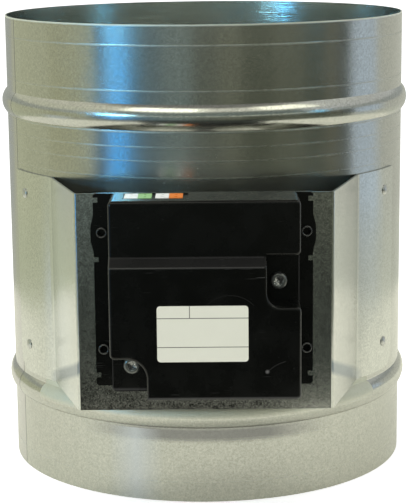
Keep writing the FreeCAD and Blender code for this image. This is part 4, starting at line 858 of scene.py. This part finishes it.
def make_floor(setup):
    """Pale floor, lifted to white where the camera sees it and a little warmer where a mirror does."""
    mesh = bmesh.new()
    bmesh.ops.create_circle(mesh, cap_ends=True, radius=setup.floor_reach, segments=96)
    bmesh.ops.translate(mesh, verts=mesh.verts, vec=(0.0, 0.0, -0.2 * MM))
    finish = Finish("studio_floor")
    tone = setup.floor_tone
    mottle = finish.noise(0.35, 2.0, 0.5)
    seen = finish.node("LightPath", {}, out=0)
    mirrored = finish.node("LightPath", {}, out=3)
    paint = finish.mix(mottle, (tone, tone, 0.99 * tone), (0.97 * tone, 0.97 * tone, 0.96 * tone))
    mirror_paint = [tone * part for part in setup.mirror_tint]
    finish.set(base_color=finish.mix(mirrored, paint, mirror_paint), roughness=0.9)
    lift = finish.node("Emission", {"Color": finish.mix(mirrored, (1.0, 1.0, 1.0), setup.mirror_tint),
                                    "Strength": setup.floor_lift * seen + setup.mirror_lift * mirrored})
    whole = finish.node("AddShader", {0: Shade(finish, finish.shader.outputs[0]), 1: lift})
    finish.tree.links.new(whole.socket, finish.output.inputs["Surface"])
    stage_piece("studio_floor", mesh, finish)


FAR_CARDS = (
    ("cool_left", -176.0, -141.0, (0.45, 0.475, 0.43)),
    ("beige_far", -141.0, -95.0, (0.60, 0.62, 0.44)),
    ("beige", -95.0, -62.0, (0.52, 0.53, 0.35)),
    ("frame", -61.5, -53.5, (0.04, 0.075, 0.10)),
    ("sky_edge", -41.0, -34.0, (0.09, 0.20, 0.31)),
    ("teal", -34.0, -22.0, (0.145, 0.20, 0.215)),
    ("teal_light", -22.0, -6.0, (0.215, 0.27, 0.26)),
    ("middle", -6.0, 8.0, (0.145, 0.16, 0.13)),
    ("middle_light", 8.0, 20.0, (0.19, 0.20, 0.15)),
    ("olive", 20.0, 38.0, (0.11, 0.12, 0.087)),
    ("olive_light", 38.0, 56.0, (0.145, 0.155, 0.115)),
    ("olive_dark", 56.0, 70.0, (0.10, 0.11, 0.082)),
    ("amber", 70.0, 78.0, (0.17, 0.165, 0.115)),
    ("deep", 78.0, 88.0, (0.085, 0.10, 0.09)),
    ("pale", 88.5, 112.0, (0.60, 0.71, 0.82)),
    ("warm", 112.0, 176.0, (0.62, 0.63, 0.55)),
)
NEAR_CARDS = (
    ("near_cool", -176.0, -141.0, (0.50, 0.52, 0.45)),
    ("near_beige", -141.0, -95.0, (0.57, 0.60, 0.43)),
    ("near_white", -95.0, -76.0, (0.66, 0.72, 0.69)),
    ("near_left", -76.0, -57.0, (0.45, 0.46, 0.34)),
    ("near_grey", -57.0, -32.0, (0.26, 0.28, 0.25)),
    ("near_right", 32.0, 86.0, (0.145, 0.16, 0.12)),
    ("near_pale", 88.0, 108.0, (0.60, 0.64, 0.60)),
    ("near_warm", 108.0, 176.0, (0.66, 0.68, 0.58)),
)
UPPER_CARDS = (
    ("upper_left", -180.0, -56.0, (0.45, 0.48, 0.42)),
    ("upper_front", -39.0, 60.0, (0.15, 0.205, 0.21)),
    ("upper_sky", 60.5, 67.0, (0.4, 1.2, 1.8)),
    ("upper_right", 67.5, 180.0, (0.42, 0.45, 0.43)),
)
TOP_CARDS = (
    ("top_left", -180.0, -53.0, (0.75, 0.76, 0.60)),
    ("top_front", -53.0, 57.0, (0.20, 0.24, 0.22)),
    ("top_right", 57.0, 180.0, (0.66, 0.68, 0.66)),
)
CEILING_CARDS = (
    ("ceiling_left", -180.0, -50.0, (0.80, 0.80, 0.66)),
    ("ceiling_lamp_left", -50.0, -3.0, (2.7, 2.7, 2.3)),
    ("ceiling_middle", -3.0, 36.0, (0.9, 0.9, 0.78)),
    ("ceiling_lamp_right", 36.0, 72.0, (2.1, 2.1, 1.75)),
    ("ceiling_right", 72.0, 180.0, (0.70, 0.72, 0.68)),
)
BLUE_FLOOR_SPAN, BLUE_FLOOR_TOP, BLUE_FLOOR = (-53.0, -41.0), 0.14, (0.12, 0.66, 1.55)
WINDOW_CARDS = (
    ("window_sill", -53.0, -41.0, 0.14, 0.25, (0.14, 0.30, 0.40)),
    ("window_tall", -55.5, -49.5, 0.25, 0.40, (3.6, 14.0, 25.0)),
    ("window_side", -47.5, -39.5, 0.29, 0.38, (6.5, 14.0, 17.0)),
    ("window_head", -53.0, -41.0, 0.40, 0.50, (0.30, 0.36, 0.38)),
)
FRONT_GLOW_SPAN, FRONT_GLOW_LEVELS, FRONT_GLOW = (-39.0, 60.0), (0.29, 0.35), (1.0, 1.0, 0.8)
CEILING_HIGH = (0.24, 0.24, 0.225)
DARK_FLOOR = (0.055, 0.064, 0.055)


def add_card(name, profile, start, stop, color):
    """A glowing card, turned about the duct axis between two angles, that only mirrors see."""
    steps = max(3, round((stop - start) / 4))
    mesh = turned(profile, steps, math.radians(stop - start))
    bmesh.ops.rotate(mesh, verts=mesh.verts, matrix=Matrix.Rotation(math.radians(start - 90), 3, "Z"))
    finish = Finish("card_" + name)
    glow = finish.node("Emission", {"Color": color})
    finish.tree.links.new(glow.socket, finish.output.inputs["Surface"])
    card = stage_piece("card_" + name, mesh, finish)
    card.visible_camera = False
    card.visible_diffuse = False
    card.visible_shadow = False
    card.visible_transmission = False


def make_cards(setup):
    """Toned cards round the object, a ceiling and a dark floor in front, for the metal to mirror."""
    foot, reach, top = setup.card_foot, setup.card_reach, setup.card_height
    near = [(foot, 0.5 * MM), (setup.dark_reach, 8 * MM)]
    far = [(setup.dark_reach, 8 * MM), (0.75 * reach, 12 * MM), (reach, 80 * MM), (reach, setup.upper_start)]
    upper = [(reach, setup.upper_start), (reach, setup.top_start)]
    over = [(reach, setup.top_start), (reach, top)]
    crown = setup.ceiling_height
    slant = [(reach, top), (0.6 * reach, 0.5 * (top + crown))]
    for profile, cards in ((near, NEAR_CARDS), (far, FAR_CARDS), (upper, UPPER_CARDS), (over, TOP_CARDS),
                           (slant, CEILING_CARDS)):
        for name, start, stop, color in cards:
            add_card(name, profile, start, stop, color)
    add_card("blue_floor", [*far[:3], (reach, BLUE_FLOOR_TOP)], *BLUE_FLOOR_SPAN, BLUE_FLOOR)
    for name, start, stop, low, high, color in WINDOW_CARDS:
        add_card(name, [(reach, low), (reach, high)], start, stop, color)
    glow = [(0.99 * reach, level) for level in FRONT_GLOW_LEVELS]
    add_card("front_glow", glow, *FRONT_GLOW_SPAN, FRONT_GLOW)
    add_card("ceiling_high", [slant[1], (0.0, crown)], -180.0, 180.0, CEILING_HIGH)
    half = math.degrees(setup.dark_angle)
    dark = [(setup.dark_start, 0.3 * MM), (foot, 1 * MM), (setup.dark_reach, 14 * MM)]
    add_card("dark_floor", dark, -half, half, DARK_FLOOR)


def make_world(setup):
    """Even light, and plain white where the camera or a mirror sees past the floor."""
    world = bpy.data.worlds.new("studio")
    world.use_nodes = True
    bpy.context.scene.world = world
    tree = world.node_tree
    background = tree.nodes["Background"]
    path = tree.nodes.new("ShaderNodeLightPath")
    seen = tree.nodes.new("ShaderNodeMath")
    seen.operation = "MAXIMUM"
    tree.links.new(path.outputs["Is Camera Ray"], seen.inputs[0])
    tree.links.new(path.outputs["Is Glossy Ray"], seen.inputs[1])
    through = tree.nodes.new("ShaderNodeMath")
    through.operation = "MAXIMUM"
    tree.links.new(seen.outputs[0], through.inputs[0])
    tree.links.new(path.outputs["Is Transmission Ray"], through.inputs[1])
    level = tree.nodes.new("ShaderNodeMapRange")
    level.inputs["To Min"].default_value = setup.daylight
    level.inputs["To Max"].default_value = 1.0
    tree.links.new(through.outputs[0], level.inputs["Value"])
    tree.links.new(level.outputs[0], background.inputs["Strength"])
    background.inputs["Color"].default_value = (1.0, 1.0, 1.0, 1.0)


def make_lamp(name, place, target, size, power):
    data = bpy.data.lights.new(name, "AREA")
    data.shape = "RECTANGLE"
    data.size, data.size_y = size
    data.energy = power
    lamp = bpy.data.objects.new(name, data)
    bpy.context.scene.collection.objects.link(lamp)
    lamp.location = place
    lamp.visible_glossy = False
    aim = Vector(target) - Vector(place)
    lamp.rotation_mode = "QUATERNION"
    lamp.rotation_quaternion = aim.to_track_quat("-Z", "Y")


class DAMPER_OT_stage(bpy.types.Operator):
    """Set up the camera, the floor, the lamps and the mirrored cards"""
    bl_idname = "damper.stage"
    bl_label = "Studio"

    def execute(self, context):
        setup = context.scene.damper_studio
        make_camera(setup)
        make_floor(setup)
        make_cards(setup)
        make_world(setup)
        make_lamp("overhead_lamp", (-0.25, -0.35, 1.3), (0.0, 0.0, 0.15), (0.9, 0.6), 7.0)
        make_lamp("side_lamp", (1.1, -0.9, 0.9), (0.0, 0.0, 0.1), (0.6, 0.6), 3.5)
        settings = context.scene.view_settings
        settings.view_transform = "Standard"
        return {"FINISHED"}


class DAMPER_PT_panel(bpy.types.Panel):
    """Buttons and values of the damper"""
    bl_idname = "DAMPER_PT_panel"
    bl_label = "Round duct damper"
    bl_space_type = "VIEW_3D"
    bl_region_type = "UI"
    bl_category = "Damper"

    def draw(self, context):
        layout = self.layout
        for group_name, group in GROUPS.items():
            box = layout.box()
            for field in group.__annotations__:
                box.prop(getattr(context.scene, group_name), field)
        for operator in OPERATORS:
            layout.operator(operator.bl_idname)


GROUPS = {
    "damper_sheet": SheetFinish,
    "damper_housing": HousingFinish,
    "damper_fittings": FittingSizes,
    "damper_studio": StudioSetup,
}
OPERATORS = (DAMPER_OT_stage, DAMPER_OT_sheet, DAMPER_OT_fasteners, DAMPER_OT_seal, DAMPER_OT_housing,
             DAMPER_OT_collars, DAMPER_OT_label, DAMPER_OT_screws, DAMPER_OT_terminals, DAMPER_OT_works)


def register():
    for group_name, group in GROUPS.items():
        bpy.utils.register_class(group)
        setattr(bpy.types.Scene, group_name, PointerProperty(type=group))
    for item in (*OPERATORS, DAMPER_PT_panel):
        bpy.utils.register_class(item)


def unregister():
    for item in reversed((*OPERATORS, DAMPER_PT_panel)):
        bpy.utils.unregister_class(item)
    for group_name, group in GROUPS.items():
        delattr(bpy.types.Scene, group_name)
        bpy.utils.unregister_class(group)


def main():
    register()
    bpy.ops.damper.stage()
    bpy.ops.damper.sheet()
    bpy.ops.damper.fasteners()
    bpy.ops.damper.seal()
    bpy.ops.damper.housing()
    bpy.ops.damper.collars()
    bpy.ops.damper.label()
    bpy.ops.damper.screws()
    bpy.ops.damper.terminals()
    bpy.ops.damper.works()


if __name__ == "__main__":
    main()
